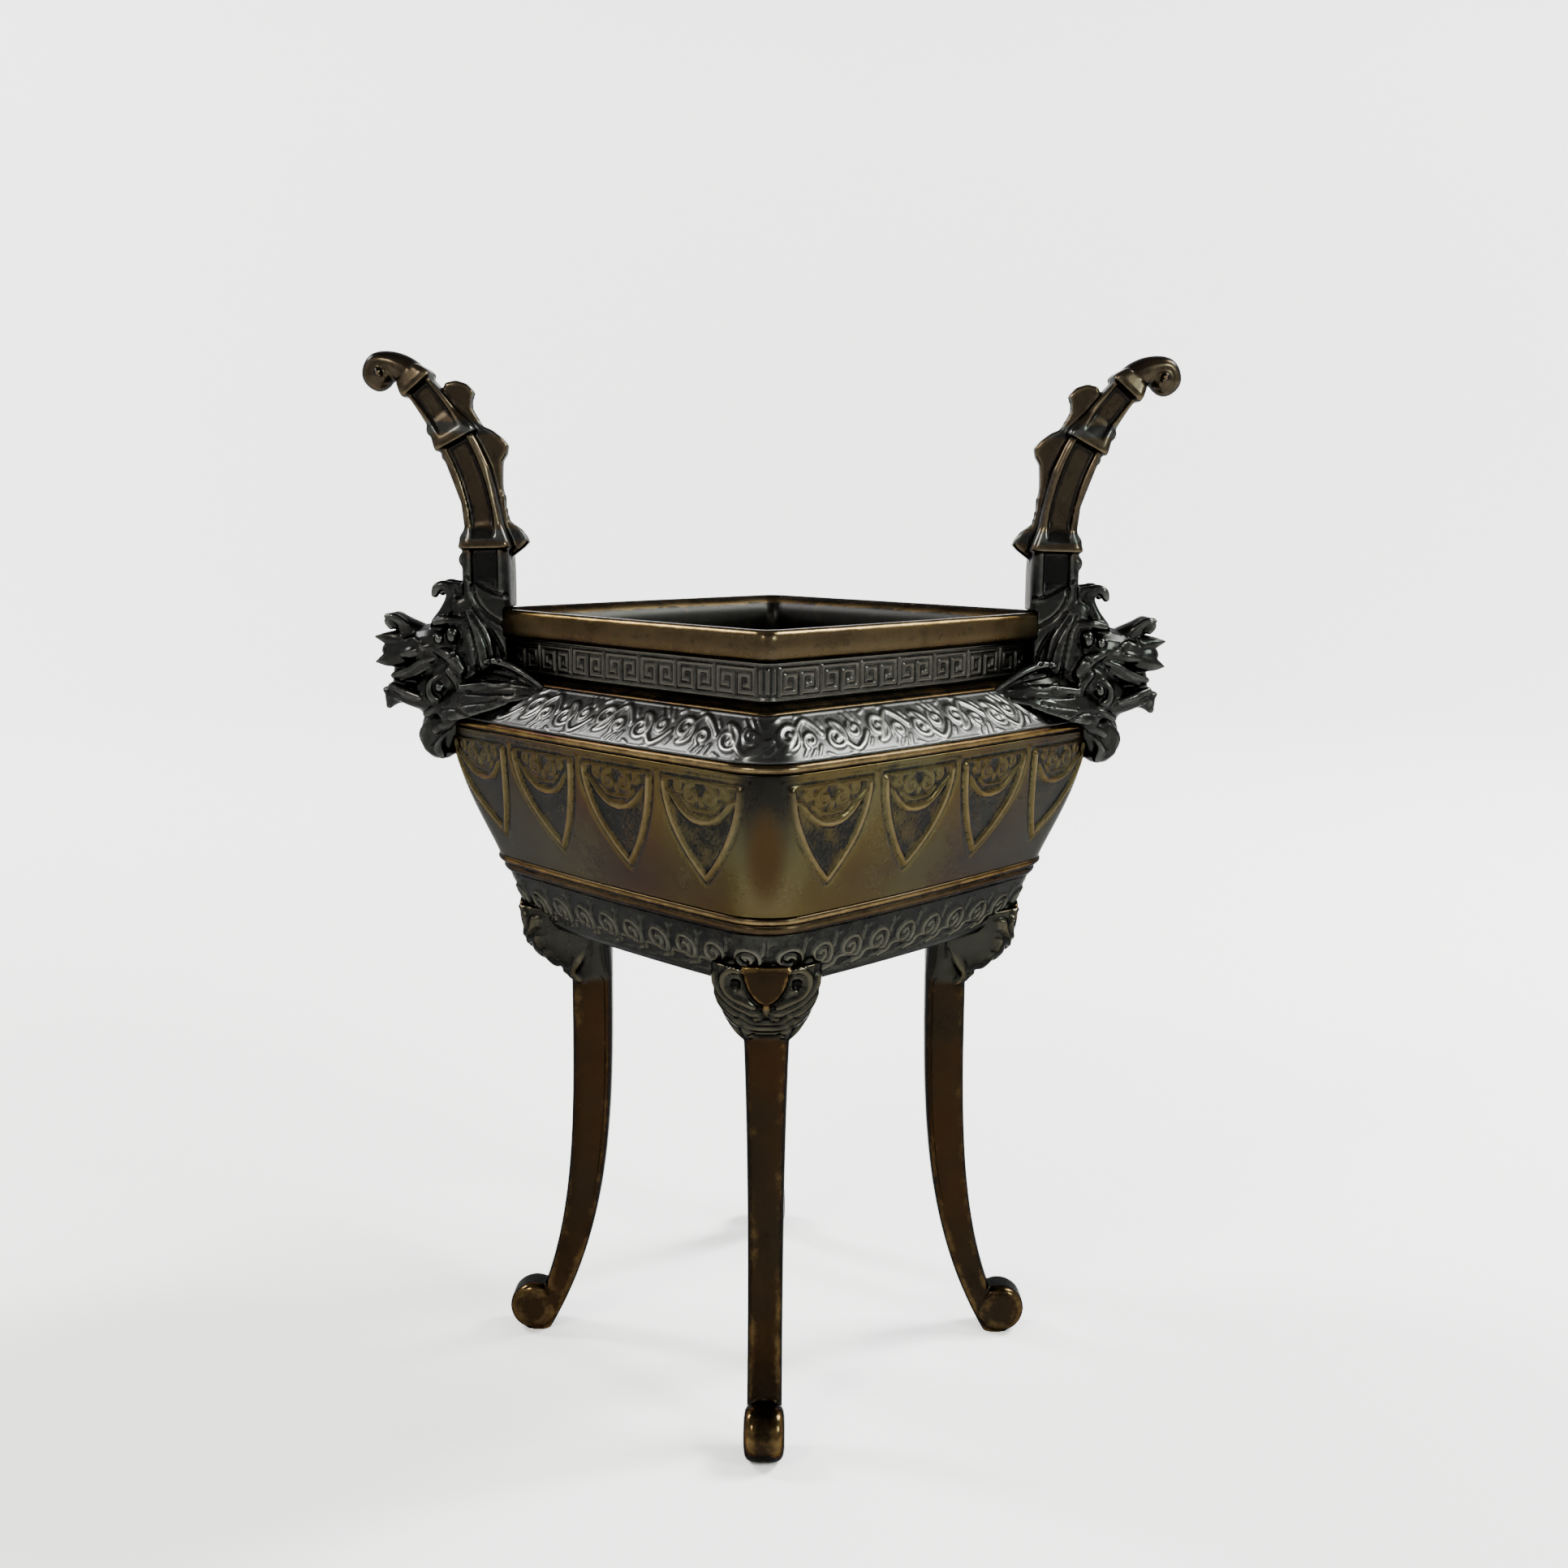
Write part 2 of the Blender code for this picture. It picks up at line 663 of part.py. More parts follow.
def volute_mesh():
    rings = []
    centre = volute_centre()
    for across, size in ((-1.12, 0.34), (-0.96, 0.44), (-0.8, 1.0), (0.8, 1.0), (0.96, 0.44), (1.12, 0.34)):
        outline = arc((centre.x, centre.z), VOLUTE_RADIUS * size, 10, 330, 8)
        rings.append([Vector((x, across * VOLUTE_WIDTH / 2, z)) for x, z in outline])
    return loft("volute", rings)


def web_mesh():
    """The thin inner web with its three hooked cusps, which points in over the bowl."""
    def inward(share, distance):
        middle, _, out = shaft_frame(share)
        point = middle - out * distance
        return point.x, point.z

    cusps = [
        (0.906, 0.29), (0.906, 0.53), (0.884, 0.75), (0.823, 0.82), (0.795, 0.61),
        (0.713, 0.57), (0.665, 0.59), (0.631, 0.76), (0.545, 0.89), (0.482, 0.65),
        (0.30, 0.46), (0.168, 0.45), (0.12, 0.72), (0.065, 0.84), (-0.009, 0.57),
    ]
    edge = [inward(share, reach * HANDLE_FOOT_DEPTH) for share, reach in cusps]
    back = [inward(share, 0.0) for share in (-0.02, 0.25, 0.5, 0.7, 0.88)]
    return plate("web", edge + back, WEB_THICKNESS / 2)


def outer_bumps():
    """Small rolls on the outer side, over the first and second ledges."""
    rolls = []
    for share, size, proud in ((0.06, 0.42, 0.35), (0.775, 0.20, 0.50)):
        middle, _, out = shaft_frame(share)
        depth, width = shaft_size(share)
        radius = size * HANDLE_FOOT_DEPTH
        centre = middle + out * (depth / 2 + (proud - 1) * radius)
        outline = arc((centre.x, centre.z), radius, 0, 315, 7)
        rolls.append(plate("roll", outline, 0.36 * width))
    return rolls


def panel_cutters():
    """Sunk panels on both broad sides, one under each ledge."""
    cutters = []
    for low, high in ((-0.50, 0.035), (0.30, 0.655), (0.80, 0.965)):
        for side in (-1, 1):
            rings = []
            for share in (low, high):
                middle, _, out = shaft_frame(share)
                depth, width = shaft_size(share)
                half = PANEL_WIDTH / 2 * depth / HANDLE_FOOT_DEPTH
                near = side * (width / 2 - PANEL_DEPTH)
                far = side * width
                corners = ((-half, near), (half, near), (half + PANEL_DEPTH, far), (-half - PANEL_DEPTH, far))
                rings.append([middle + out * a + Vector((0, b, 0)) for a, b in corners])
            cutters.append(loft("panel", rings))
    return cutters


# Beast heads

def head_point(reach, rise, across=0.0):
    """Shares of the head's length, height and width made a place."""
    x = HEAD_ROOT + reach * HEAD_LENGTH
    z = RIM_TOP - HEAD_CENTRE_DROP + rise * HEAD_HEIGHT
    return Vector((x, across * HEAD_WIDTH / 2, z))


def head_loft(name, stations, sides=8):
    """Oval rings along the head: reach, middle, half height and half width as shares."""
    rings = []
    for reach, rise, tall, broad in stations:
        ring = []
        for i in range(sides):
            angle = 2 * pi * (i + 0.5) / sides
            up = tall * sin(angle) / cos(pi / sides)
            ring.append(head_point(reach, rise + up, broad * cos(angle)))
        rings.append(ring)
    return loft(name, rings)


def tapered_tube(points, radii, sides=4):
    """A bent horn or spike through points that lie in one upright plane."""
    rings = []
    for i, point in enumerate(points):
        before = points[max(i - 1, 0)]
        after = points[min(i + 1, len(points) - 1)]
        along = (after - before).normalized()
        across = Vector((0, 1, 0))
        out = along.cross(across).normalized()
        ring = []
        for k in range(sides):
            angle = 2 * pi * k / sides
            ring.append(point + radii[i] * (cos(angle) * out + sin(angle) * across))
        rings.append(ring)
    return loft("tube", rings)


def ear_mesh(side):
    """A leaf that lies back over the shoulder beside the handle."""
    quarter, sign = (0, -1) if side > 0 else (3, 1)
    half = half_side(BELLY_TOP_REACH, BELLY_CORNER_RADIUS, BELLY_BOW)
    rings = []
    for distance, height, tall, proud in (
        (0.12, 0.45, 0.58, 0.23), (0.46, 0.50, 0.55, 0.12),
        (0.75, 0.66, 0.38, 0.09), (1.02, 0.90, 0.07, 0.05),
    ):
        share = sign * (1 - distance * HEAD_LENGTH / half)
        middle = SHOULDER_FOOT + height * SHOULDER_HEIGHT
        low = max(middle - tall * SHOULDER_HEIGHT, BELLY_TOP)
        high = min(middle + tall * SHOULDER_HEIGHT, NECK_FOOT)
        lift = proud * HEAD_LENGTH
        rings.append([
            on_vessel(quarter, share, low, -ORNAMENT_SINK),
            on_vessel(quarter, share, (low + middle) / 2, lift),
            on_vessel(quarter, share, (high + middle) / 2, lift),
            on_vessel(quarter, share, high, -ORNAMENT_SINK),
        ])
    return loft("ear", rings)


def head_parts():
    """Skull, open jaws, throat and tongue, then the pairs of horns, spikes, eyes, curls and ears."""
    root = (HANDLE_REACH - HEAD_ROOT) / HEAD_LENGTH
    skull = head_loft("skull", [
        (root, -0.02, 0.46, 0.86), (0.12, -0.02, 0.52, 1.00), (0.30, 0.00, 0.42, 0.96),
        (0.55, 0.04, 0.29, 0.76), (0.76, 0.02, 0.25, 0.60), (0.92, 0.00, 0.17, 0.46),
    ], 10)
    jaw = head_loft("jaw", [
        (0.05, -0.50, 0.30, 0.78), (0.45, -0.54, 0.22, 0.66), (0.72, -0.52, 0.17, 0.52),
        (0.88, -0.50, 0.18, 0.42),
    ])
    throat = head_loft("throat", [
        (0.12, -0.78, 0.50, 0.58), (0.40, -0.80, 0.49, 0.60),
        (0.55, -0.80, 0.37, 0.50), (0.62, -0.84, 0.17, 0.34),
    ])
    tongue = plate("tongue", [(p.x, p.z) for p in (
        head_point(0.10, -0.10), head_point(0.10, -0.50), head_point(0.70, -0.50),
        head_point(0.83, -0.42), head_point(0.84, -0.30), head_point(0.70, -0.10),
    )], 0.16 * HEAD_WIDTH)
    nose = plate("nose", [
        (p.x, p.z) for p in (
            head_point(0.55, 0.20), head_point(0.60, 0.33), head_point(0.75, 0.42),
            head_point(0.885, 0.36), head_point(0.82, 0.28), head_point(0.80, 0.10),
        )
    ], 0.12 * HEAD_WIDTH)
    parts = [skull, jaw, throat, tongue, nose]
    for side in (-1, 1):
        horn = [head_point(*p, 0.38 * side) for p in
                ((0.24, 0.25), (0.25, 0.50), (0.28, 0.66), (0.36, 0.69), (0.43, 0.63))]
        parts.append(tapered_tube(horn, [size * HEAD_LENGTH for size in (0.10, 0.08, 0.07, 0.055, 0.03)]))
        for rise in (0.11, -0.17):
            spike = [head_point(0.84, rise, 0.30 * side), head_point(0.99, rise + 0.02, 0.24 * side)]
            parts.append(tapered_tube(spike, [0.075 * HEAD_LENGTH, 0.01 * HEAD_LENGTH]))
        for reach, rise, across, size in ((0.46, 0.04, 0.78, 0.12), (0.48, -0.52, 0.66, 0.135)):
            radius = size * HEAD_LENGTH
            parts.append(boss(head_point(reach, rise, across * side), (radius, 0.7 * radius, 0.9 * radius)))
        brow = [head_point(*p) for p in
                ((0.70, 0.20, 0.36 * side), (0.45, 0.24, 0.72 * side), (0.22, 0.30, 0.92 * side))]
        parts.append(ridge(brow, 0.065 * HEAD_LENGTH))
        parts.append(ear_mesh(side))
    return parts


def handle_mesh(holder):
    solids = [shaft_mesh(), volute_mesh(), web_mesh(), *outer_bumps(), *head_parts()]
    return fused("handle", solids, [*panel_cutters(), vessel_envelope()], holder)


def build():
    clear_scene()
    parts = collection("bronze_censer")
    tools = collection("cutters")
    body_bronze = bronze("vessel_bronze", (0.085, 0.060, 0.032), 0.38)
    dark_bronze = bronze("handle_bronze", (0.040, 0.034, 0.028), 0.36)
    warm_bronze = bronze("leg_bronze", (0.070, 0.040, 0.020), 0.36)
    place("vessel", vessel_mesh(tools), body_bronze, parts)
    handle = handle_mesh(tools)
    for name, turn in (("handle_right", 0.0), ("handle_left", pi)):
        place(name, handle, dark_bronze, parts, turn)
    leg = leg_mesh(tools)
    for name, quarter in (("leg_right", 0), ("leg_back", 1), ("leg_left", 2), ("leg_front", 3)):
        place(name, leg, warm_bronze, parts, quarter * pi / 2)


build()
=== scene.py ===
from math import cos, pi, radians, sin, sqrt

import bmesh
import bpy
import numpy as np
from mathutils import Matrix, Vector


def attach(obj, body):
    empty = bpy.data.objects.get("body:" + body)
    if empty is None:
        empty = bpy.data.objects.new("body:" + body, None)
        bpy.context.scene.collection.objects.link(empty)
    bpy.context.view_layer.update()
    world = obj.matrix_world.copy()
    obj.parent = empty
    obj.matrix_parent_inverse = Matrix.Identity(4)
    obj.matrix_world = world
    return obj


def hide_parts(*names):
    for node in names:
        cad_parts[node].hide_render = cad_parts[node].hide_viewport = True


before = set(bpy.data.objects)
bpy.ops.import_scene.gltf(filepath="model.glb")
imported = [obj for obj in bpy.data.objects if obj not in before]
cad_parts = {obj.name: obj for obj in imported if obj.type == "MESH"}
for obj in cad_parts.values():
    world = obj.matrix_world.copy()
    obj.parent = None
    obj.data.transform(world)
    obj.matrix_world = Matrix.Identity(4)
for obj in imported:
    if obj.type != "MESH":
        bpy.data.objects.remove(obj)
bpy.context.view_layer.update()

scene = bpy.context.scene

# The bowl: one bronze casting, square in plan with its corners to the front, back and sides. Its
# ribs and rim are rubbed to a golden brown, its inside is dark with soot, and the ornament bands
# below are chased on it.
underside = 0.1175
wave_top = 0.1310
belly_foot = 0.1358
belly_top = 0.1700
shoulder_foot = 0.1724
shoulder_top = 0.1814
neck_foot = 0.1834
neck_top = 0.1931
rim_top = 0.2000
# Reaches from the middle out to a corner
base_reach = 0.0615
wave_reach = 0.0690
belly_foot_reach = 0.0712
belly_top_reach = 0.0828
shoulder_top_reach = 0.0735
ridge_reach = 0.0718
neck_reach = 0.0680
rim_reach = 0.0740
# Plans are the corner's radius, and half the angle of a side's bow in radians
belly_plan = (0.0130, 0.060)
neck_plan = (0.0030, 0.030)
rib_proud = 0.0014
belly_fullness = 1.1
wall = 0.0029
floor_thickness = 0.0036
band_sink = 0.0005
shell_columns = 288


def plan(turns, reach, corner, bow):
    """Place on the plan, at side lengths counted from the right-hand corner."""
    quarter = np.floor(turns)
    share = 2 * (turns - quarter) - 1
    turn = pi / 4 - bow
    side = (reach - corner) / (np.cos(turn) - np.sin(turn)) + corner
    setback = (side - corner) * np.sin(turn) / sin(pi / 4)
    distance = np.abs(share) * (side * bow + corner * turn)
    flat = distance <= side * bow
    angle = np.where(flat, pi / 4 - distance / side, turn - (distance - side * bow) / corner)
    x = np.where(flat, side * np.cos(angle) - setback * cos(pi / 4), reach - corner + corner * np.cos(angle))
    y = np.where(flat, side * np.sin(angle) - setback * sin(pi / 4), corner * np.sin(angle))
    x, y = np.where(share > 0, y, x), np.where(share > 0, x, y)
    swing = quarter * pi / 2
    return x * np.cos(swing) - y * np.sin(swing), x * np.sin(swing) + y * np.cos(swing)


def wave_band(t):
    """Height, reach, corner radius and bow up the wave band; the next three do the same."""
    reach = base_reach + (wave_reach - base_reach) * t ** 0.8
    return underside + (wave_top - underside) * t, reach, *belly_plan


def belly_band(t):
    swell = sin(t * pi / 2) ** belly_fullness
    reach = belly_foot_reach + (belly_top_reach - belly_foot_reach) * swell
    return belly_foot + (belly_top - belly_foot) * t, reach, *belly_plan


def shoulder_band(t):
    reach = belly_top_reach + (shoulder_top_reach - belly_top_reach) * t ** 1.25
    corner = belly_plan[0] + (neck_plan[0] - belly_plan[0]) * t
    bow = belly_plan[1] + (neck_plan[1] - belly_plan[1]) * t
    return shoulder_foot + (shoulder_top - shoulder_foot) * t, reach, corner, bow


def neck_band(t):
    return neck_foot + (neck_top - neck_foot) * t, neck_reach, *neck_plan


def behind(band, shares, rub):
    """Rows of the casting a little behind an ornament band."""
    return [(height, reach - band_sink * sqrt(2), *shape, rub) for height, reach, *shape in map(band, shares)]


def bead(foot, top, low_reach, high_reach, proud, steps, shape, wear=0.65):
    """Rows over a half-round bead, with a rubbed crest."""
    rows = []
    for i in range(steps + 1):
        t = i / steps
        reach = low_reach + (high_reach - low_reach) * t + proud * sin(pi * t) ** 0.6
        rows.append((foot + (top - foot) * t, reach, *shape, 0.22 + wear * sin(pi * t) ** 2))
    return rows


def shell_rows():
    """Rows of height, reach, corner, bow and rub from the middle of the floor up and in again."""
    rows = [(underside, share * base_reach, *belly_plan, 0.30) for share in (0.2, 0.6, 0.9, 0.985)]
    rows += [(underside + 0.0005, base_reach + 0.0004, *belly_plan, 0.6)]
    rows += behind(wave_band, (0.14, 0.5, 0.96), 0.1)
    middle = (wave_top + belly_foot) / 2
    middle_reach = (wave_reach + belly_foot_reach) / 2
    rows += bead(wave_top, middle, wave_reach, middle_reach, 0.7 * rib_proud, 8, belly_plan, 0.22)
    rows += bead(middle, belly_foot, middle_reach, belly_foot_reach, rib_proud, 8, belly_plan, 0.62)[1:]
    rows += behind(belly_band, (0.03, 0.2, 0.4, 0.6, 0.8, 0.98), 0.3)
    rib_reach = belly_top_reach - 0.0004
    rows += bead(belly_top, shoulder_foot, belly_top_reach, rib_reach, rib_proud, 10, belly_plan)
    rows += behind(shoulder_band, (0.05, 0.35, 0.65, 0.95), 0.1)
    half_way = (shoulder_top + neck_foot) / 2
    ridge = bead(shoulder_top, half_way, shoulder_top_reach, ridge_reach, 0.0006, 6, neck_plan)
    ridge += bead(half_way, neck_foot, ridge_reach, neck_reach + 0.0004, 0.0005, 6, neck_plan)[1:]
    rows += [(*row[:4], 0.35 * row[4]) for row in ridge]
    rows += behind(neck_band, (0.04, 0.5, 0.97), 0.1)
    # Up from the neck's top, out from the rim's reach, and rub
    rim = (
        (0.0002, -0.0009, 0.12), (0.0008, -0.0003, 0.46), (0.0016, 0.0, 0.40), (0.0030, 0.0002, 0.30),
        (0.0045, 0.0002, 0.36), (0.0057, -0.0001, 0.52), (0.0064, -0.0006, 0.78), (0.0069, -0.0013, 0.82),
    )
    rows += [(neck_top + up, rim_reach + out, *neck_plan, rub) for up, out, rub in rim]
    inset = wall * sqrt(2)
    rows.append((rim_top, rim_reach - inset + 0.0008, *neck_plan, 0.80))
    rows.append((rim_top - 0.0006, rim_reach - inset, *neck_plan, 0.6))
    for t in (0.86, 0.5, 0.0):
        rows.append((neck_foot + (rim_top - neck_foot) * t, neck_reach - inset, *neck_plan, 0.03))
    rows.append((shoulder_top, neck_reach - inset + 0.0004, *neck_plan, 0.0))
    for t in (1.0, 0.75, 0.5, 0.25, 0.05):
        height, reach, *shape = belly_band(t)
        rows.append((height, reach - inset - 0.0006, *shape, 0.0))
    floor_height = underside + floor_thickness
    rows.append((floor_height + 0.0015, base_reach - inset + 0.0018, *belly_plan, 0.05))
    for share in (0.98, 0.8, 0.5, 0.2):
        rows.append((floor_height, share * (base_reach - inset), *belly_plan, 0.05))
    return rows


def grid_faces(rows, columns, wrap):
    """Quads over a grid of points, row by row, closed round when wrap is set."""
    across = np.arange(columns if wrap else columns - 1)
    beside = (across + 1) % columns
    lower = np.arange(rows - 1)[:, None] * columns
    quads = np.stack([lower + across, lower + beside, lower + columns + beside, lower + columns + across], -1)
    return quads.reshape(-1, 4)


def mesh_of(name, points, faces, rub=None):
    """A smooth mesh, with how rubbed each point is where that is given."""
    mesh = bpy.data.meshes.new(name)
    mesh.from_pydata(np.asarray(points).tolist(), [], [list(map(int, face)) for face in faces])
    if rub is not None:
        layer = mesh.attributes.new("rub", "FLOAT", "POINT")
        layer.data.foreach_set("value", np.asarray(rub, np.float32).ravel())
    mesh.shade_smooth()
    return mesh


def add_node(tree, kind, inputs=(), **settings):
    """Adds a node; an input given as another node's output is linked, any other is set."""
    node = tree.nodes.new(kind)
    for key, value in settings.items():
        setattr(node, key, value)
    for key, value in dict(inputs).items():
        if isinstance(value, bpy.types.NodeSocket):
            tree.links.new(value, node.inputs[key])
        else:
            node.inputs[key].default_value = value
    return node


def maths(tree, operation, a, b=0.0):
    return add_node(tree, "ShaderNodeMath", {0: a, 1: b}, operation=operation).outputs[0]


def ramp(tree, value, low, high, bottom=0.0, top=1.0, **settings):
    """Carries a value from between low and high to between bottom and top."""
    limits = {"Value": value, "From Min": low, "From Max": high, "To Min": bottom, "To Max": top}
    return add_node(tree, "ShaderNodeMapRange", limits, **settings).outputs["Result"]


def blend(tree, factor, a, b):
    """Colour a where factor is 0 and colour b where it is 1."""
    a, b = ((*colour, 1.0) if isinstance(colour, tuple) else colour for colour in (a, b))
    return add_node(tree, "ShaderNodeMix", {"Factor": factor, 6: a, 7: b}, data_type="RGBA").outputs[2]


def noise(tree, scale, detail=2.0, rough=0.5):
    place = add_node(tree, "ShaderNodeTexCoord").outputs["Object"]
    inputs = {"Vector": place, "Scale": scale, "Detail": detail, "Roughness": rough}
    return add_node(tree, "ShaderNodeTexNoise", inputs).outputs["Fac"]


def bronze(name, colours, gold_from, roughness, sheen, blotch=0.55, other_colours=None):
    """Patinated bronze: blotched skin, dark hollows and rubbed crests, by the rub attribute and noise.

    colours are the hollows', the skin's two and the crests'; the other set shows where zone is 1.
    """
    material = bpy.data.materials.new(name)
    material.use_nodes = True
    tree = material.node_tree
    rub = add_node(tree, "ShaderNodeAttribute", attribute_name="rub").outputs["Fac"]
    broad = noise(tree, 28.0, 3.0, 0.6)
    patch = noise(tree, 170.0, 5.0, 0.6)
    fine = noise(tree, 900.0, 4.0, 0.7)
    worn = maths(tree, "ADD", rub, ramp(tree, patch, 0.3, 0.7, -0.13, 0.13))
    worn = maths(tree, "ADD", worn, ramp(tree, fine, 0.3, 0.7, -0.07, 0.07))
    hollow = ramp(tree, worn, 0.29, 0.10)
    golden = ramp(tree, worn, gold_from, gold_from + 0.30)

    def patina(dark, skin_a, skin_b, crest):
        skin = blend(tree, ramp(tree, broad, 0.38, 0.62), skin_a, skin_b)
        skin = blend(tree, ramp(tree, patch, 0.55, 0.75, 0.0, blotch), skin, tuple(0.45 * c for c in skin_a))
        return blend(tree, golden, blend(tree, hollow, skin, dark), crest)

    colour = patina(*colours)
    if other_colours:
        zone = add_node(tree, "ShaderNodeAttribute", attribute_name="zone").outputs["Fac"]
        edge = maths(tree, "ADD", zone, ramp(tree, patch, 0.3, 0.7, -0.2, 0.2))
        colour = blend(tree, ramp(tree, edge, 0.3, 0.7), colour, patina(*other_colours))
    gloss = ramp(tree, worn, 0.1, 0.9, roughness + 0.16, roughness - 0.06)
    gloss = maths(tree, "ADD", gloss, ramp(tree, patch, 0.3, 0.7, -0.05, 0.06))
    gloss = maths(tree, "ADD", gloss, ramp(tree, broad, 0.35, 0.65, -0.06, 0.10))
    grain = maths(tree, "ADD", maths(tree, "MULTIPLY", patch, 0.7), maths(tree, "MULTIPLY", fine, 0.35))
    bump = add_node(tree, "ShaderNodeBump", {"Strength": 0.5 * blotch, "Distance": 0.0004, "Height": grain})
    shader = tree.nodes["Principled BSDF"]
    for socket, value in (("Base Color", colour), ("Roughness", gloss), ("Normal", bump.outputs["Normal"])):
        tree.links.new(value, shader.inputs[socket])
    shader.inputs["Metallic"].default_value = 0.97
    shader.inputs["Specular IOR Level"].default_value = 0.2
    shader.inputs["Specular Tint"].default_value = (0.10, 0.085, 0.07, 1.0)
    shader.inputs["Coat Weight"].default_value = sheen
    shader.inputs["Coat Roughness"].default_value = 0.25
    return material


def show(name, mesh, finish, node):
    """Puts a finished mesh in the scene as a piece that stands for a solid."""
    piece = bpy.data.objects.new(name, mesh)
    scene.collection.objects.link(piece)
    if not mesh.materials:
        mesh.materials.append(finish)
    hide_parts(node)
    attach(piece, "root")


rows = shell_rows()
turns = np.arange(shell_columns) / shell_columns * 4
shell_points = []
for height, reach, corner, bow, _ in rows:
    x, y = plan(turns, reach, corner, bow)
    shell_points.append(np.stack([x, y, np.full_like(x, height)], -1))
shell_points = np.concatenate(shell_points)
shell_rub = np.repeat([row[4] for row in rows], shell_columns)
shell_faces = grid_faces(len(rows), shell_columns, True).tolist()
shell_faces.append(list(range(shell_columns))[::-1])
shell_faces.append(list(range(len(shell_points) - shell_columns, len(shell_points))))
rubbed_bronze = bronze(
    "rubbed_bronze",
    ((0.005, 0.005, 0.0045), (0.023, 0.0155, 0.0075), (0.034, 0.0245, 0.0130), (0.100, 0.071, 0.033)),
    gold_from=0.60, roughness=0.18, sheen=0.05, blotch=0.5,
)
shell_mesh = mesh_of("bowl", shell_points, shell_faces, shell_rub)
show("bowl", shell_mesh, rubbed_bronze, "vessel")

# The wave band: a ring of running spiral waves chased on the slope under the bowl's lower beads. A
# single flat tile is repeated along each side, wrapped on the casting and welded into one ring.
wave_tile = (0.0096, 0.0146)
wave_count = 10
wave_proud = 0.00075
relief_sink = 0.0008
# Corner tiles: width, and half of it as a share of a side
narrow_corner, narrow_share = 0.0006, 0.003
wide_corner, wide_share = 0.0050, 0.026
# The strip of the casting that a ring of tiles is wrapped on
guide_columns = 1360
guide_rows = 40
guide_lift = 0.00005
weld_distance = 0.000012


def stroke(x, y, path, width, taper=0.0):
    """Rounded ridge height, 0 to 1, of a line through points in millimetres."""
    path = np.asarray(path, float)
    best = np.zeros_like(x)
    for i in range(len(path) - 1):
        a, b = path[i], path[i + 1]
        d = b - a
        share = np.clip(((x - a[0]) * d[0] + (y - a[1]) * d[1]) / max(d @ d, 1e-9), 0, 1)
        gap = np.hypot(x - a[0] - share * d[0], y - a[1] - share * d[1])
        half = width * (1 - taper * (i + 0.5) / (len(path) - 1))
        best = np.maximum(best, np.sqrt(np.clip(1 - (gap / half) ** 2, 0, 1)) * half / width)
    return best


def strokes(x, y, lines):
    """The highest of several ridges, each given as its height, path, half width and taper."""
    relief = np.zeros_like(x)
    for high, path, *width in lines:
        relief = np.maximum(relief, high * stroke(x, y, path, *width))
    return relief


def spiral(cx, cy, inner, outer, start, sweep, steps=22):
    """Points out along a spiral, angles in degrees."""
    t = np.linspace(0, 1, steps)
    angle = np.radians(start + sweep * t)
    radius = inner + (outer - inner) * t
    return np.stack([cx + radius * np.cos(angle), cy + radius * np.sin(angle)], -1)


def smooth_path(points, steps=5):
    """A rounded line through points."""
    p = np.asarray(points, float)
    p = np.vstack([2 * p[0] - p[1], p, 2 * p[-1] - p[-2]])
    t = np.linspace(0, 1, steps, endpoint=False)[:, None]
    parts = []
    for a, b, c, d in zip(p, p[1:], p[2:], p[3:]):
        bend = (2 * a - 5 * b + 4 * c - d) * t ** 2
        parts.append(0.5 * (2 * b + (c - a) * t + bend + (3 * b - a - 3 * c + d) * t ** 3))
    return np.vstack([*parts, p[-2:-1]])


def tile_mesh(name, size, columns, rows, relief, proud):
    """A slab on the unit square with a relief on top, open at both ends so that neighbours weld."""
    u, v = np.meshgrid(np.linspace(0, 1, columns + 1), np.linspace(0, 1, rows + 1))
    raised = relief(u * size[0] * 1000, v * size[1] * 1000)
    top = np.stack([u, v, raised * proud], -1).reshape(-1, 3)
    edge = np.linspace(0, 1, columns + 1)
    low = np.stack([edge, 0 * edge, 0 * edge - relief_sink], -1)
    high = np.stack([edge, 0 * edge + 1, 0 * edge - relief_sink], -1)
    faces = grid_faces(rows + 1, columns + 1, False).tolist()
    first, last = len(top), len(top) + columns + 1
    end = rows * (columns + 1)
    for i in range(columns):
        faces.append([first + i, first + i + 1, i + 1, i])
        faces.append([end + i, end + i + 1, last + i + 1, last + i])
        faces.append([last + i, last + i + 1, first + i + 1, first + i])
    rub = np.concatenate([np.clip(raised, 0, 1).ravel(), np.zeros(2 * columns + 2)])
    item = bpy.data.objects.new(name, mesh_of(name, np.vstack([top, low, high]), faces, rub))
    scene.collection.objects.link(item)
    return item


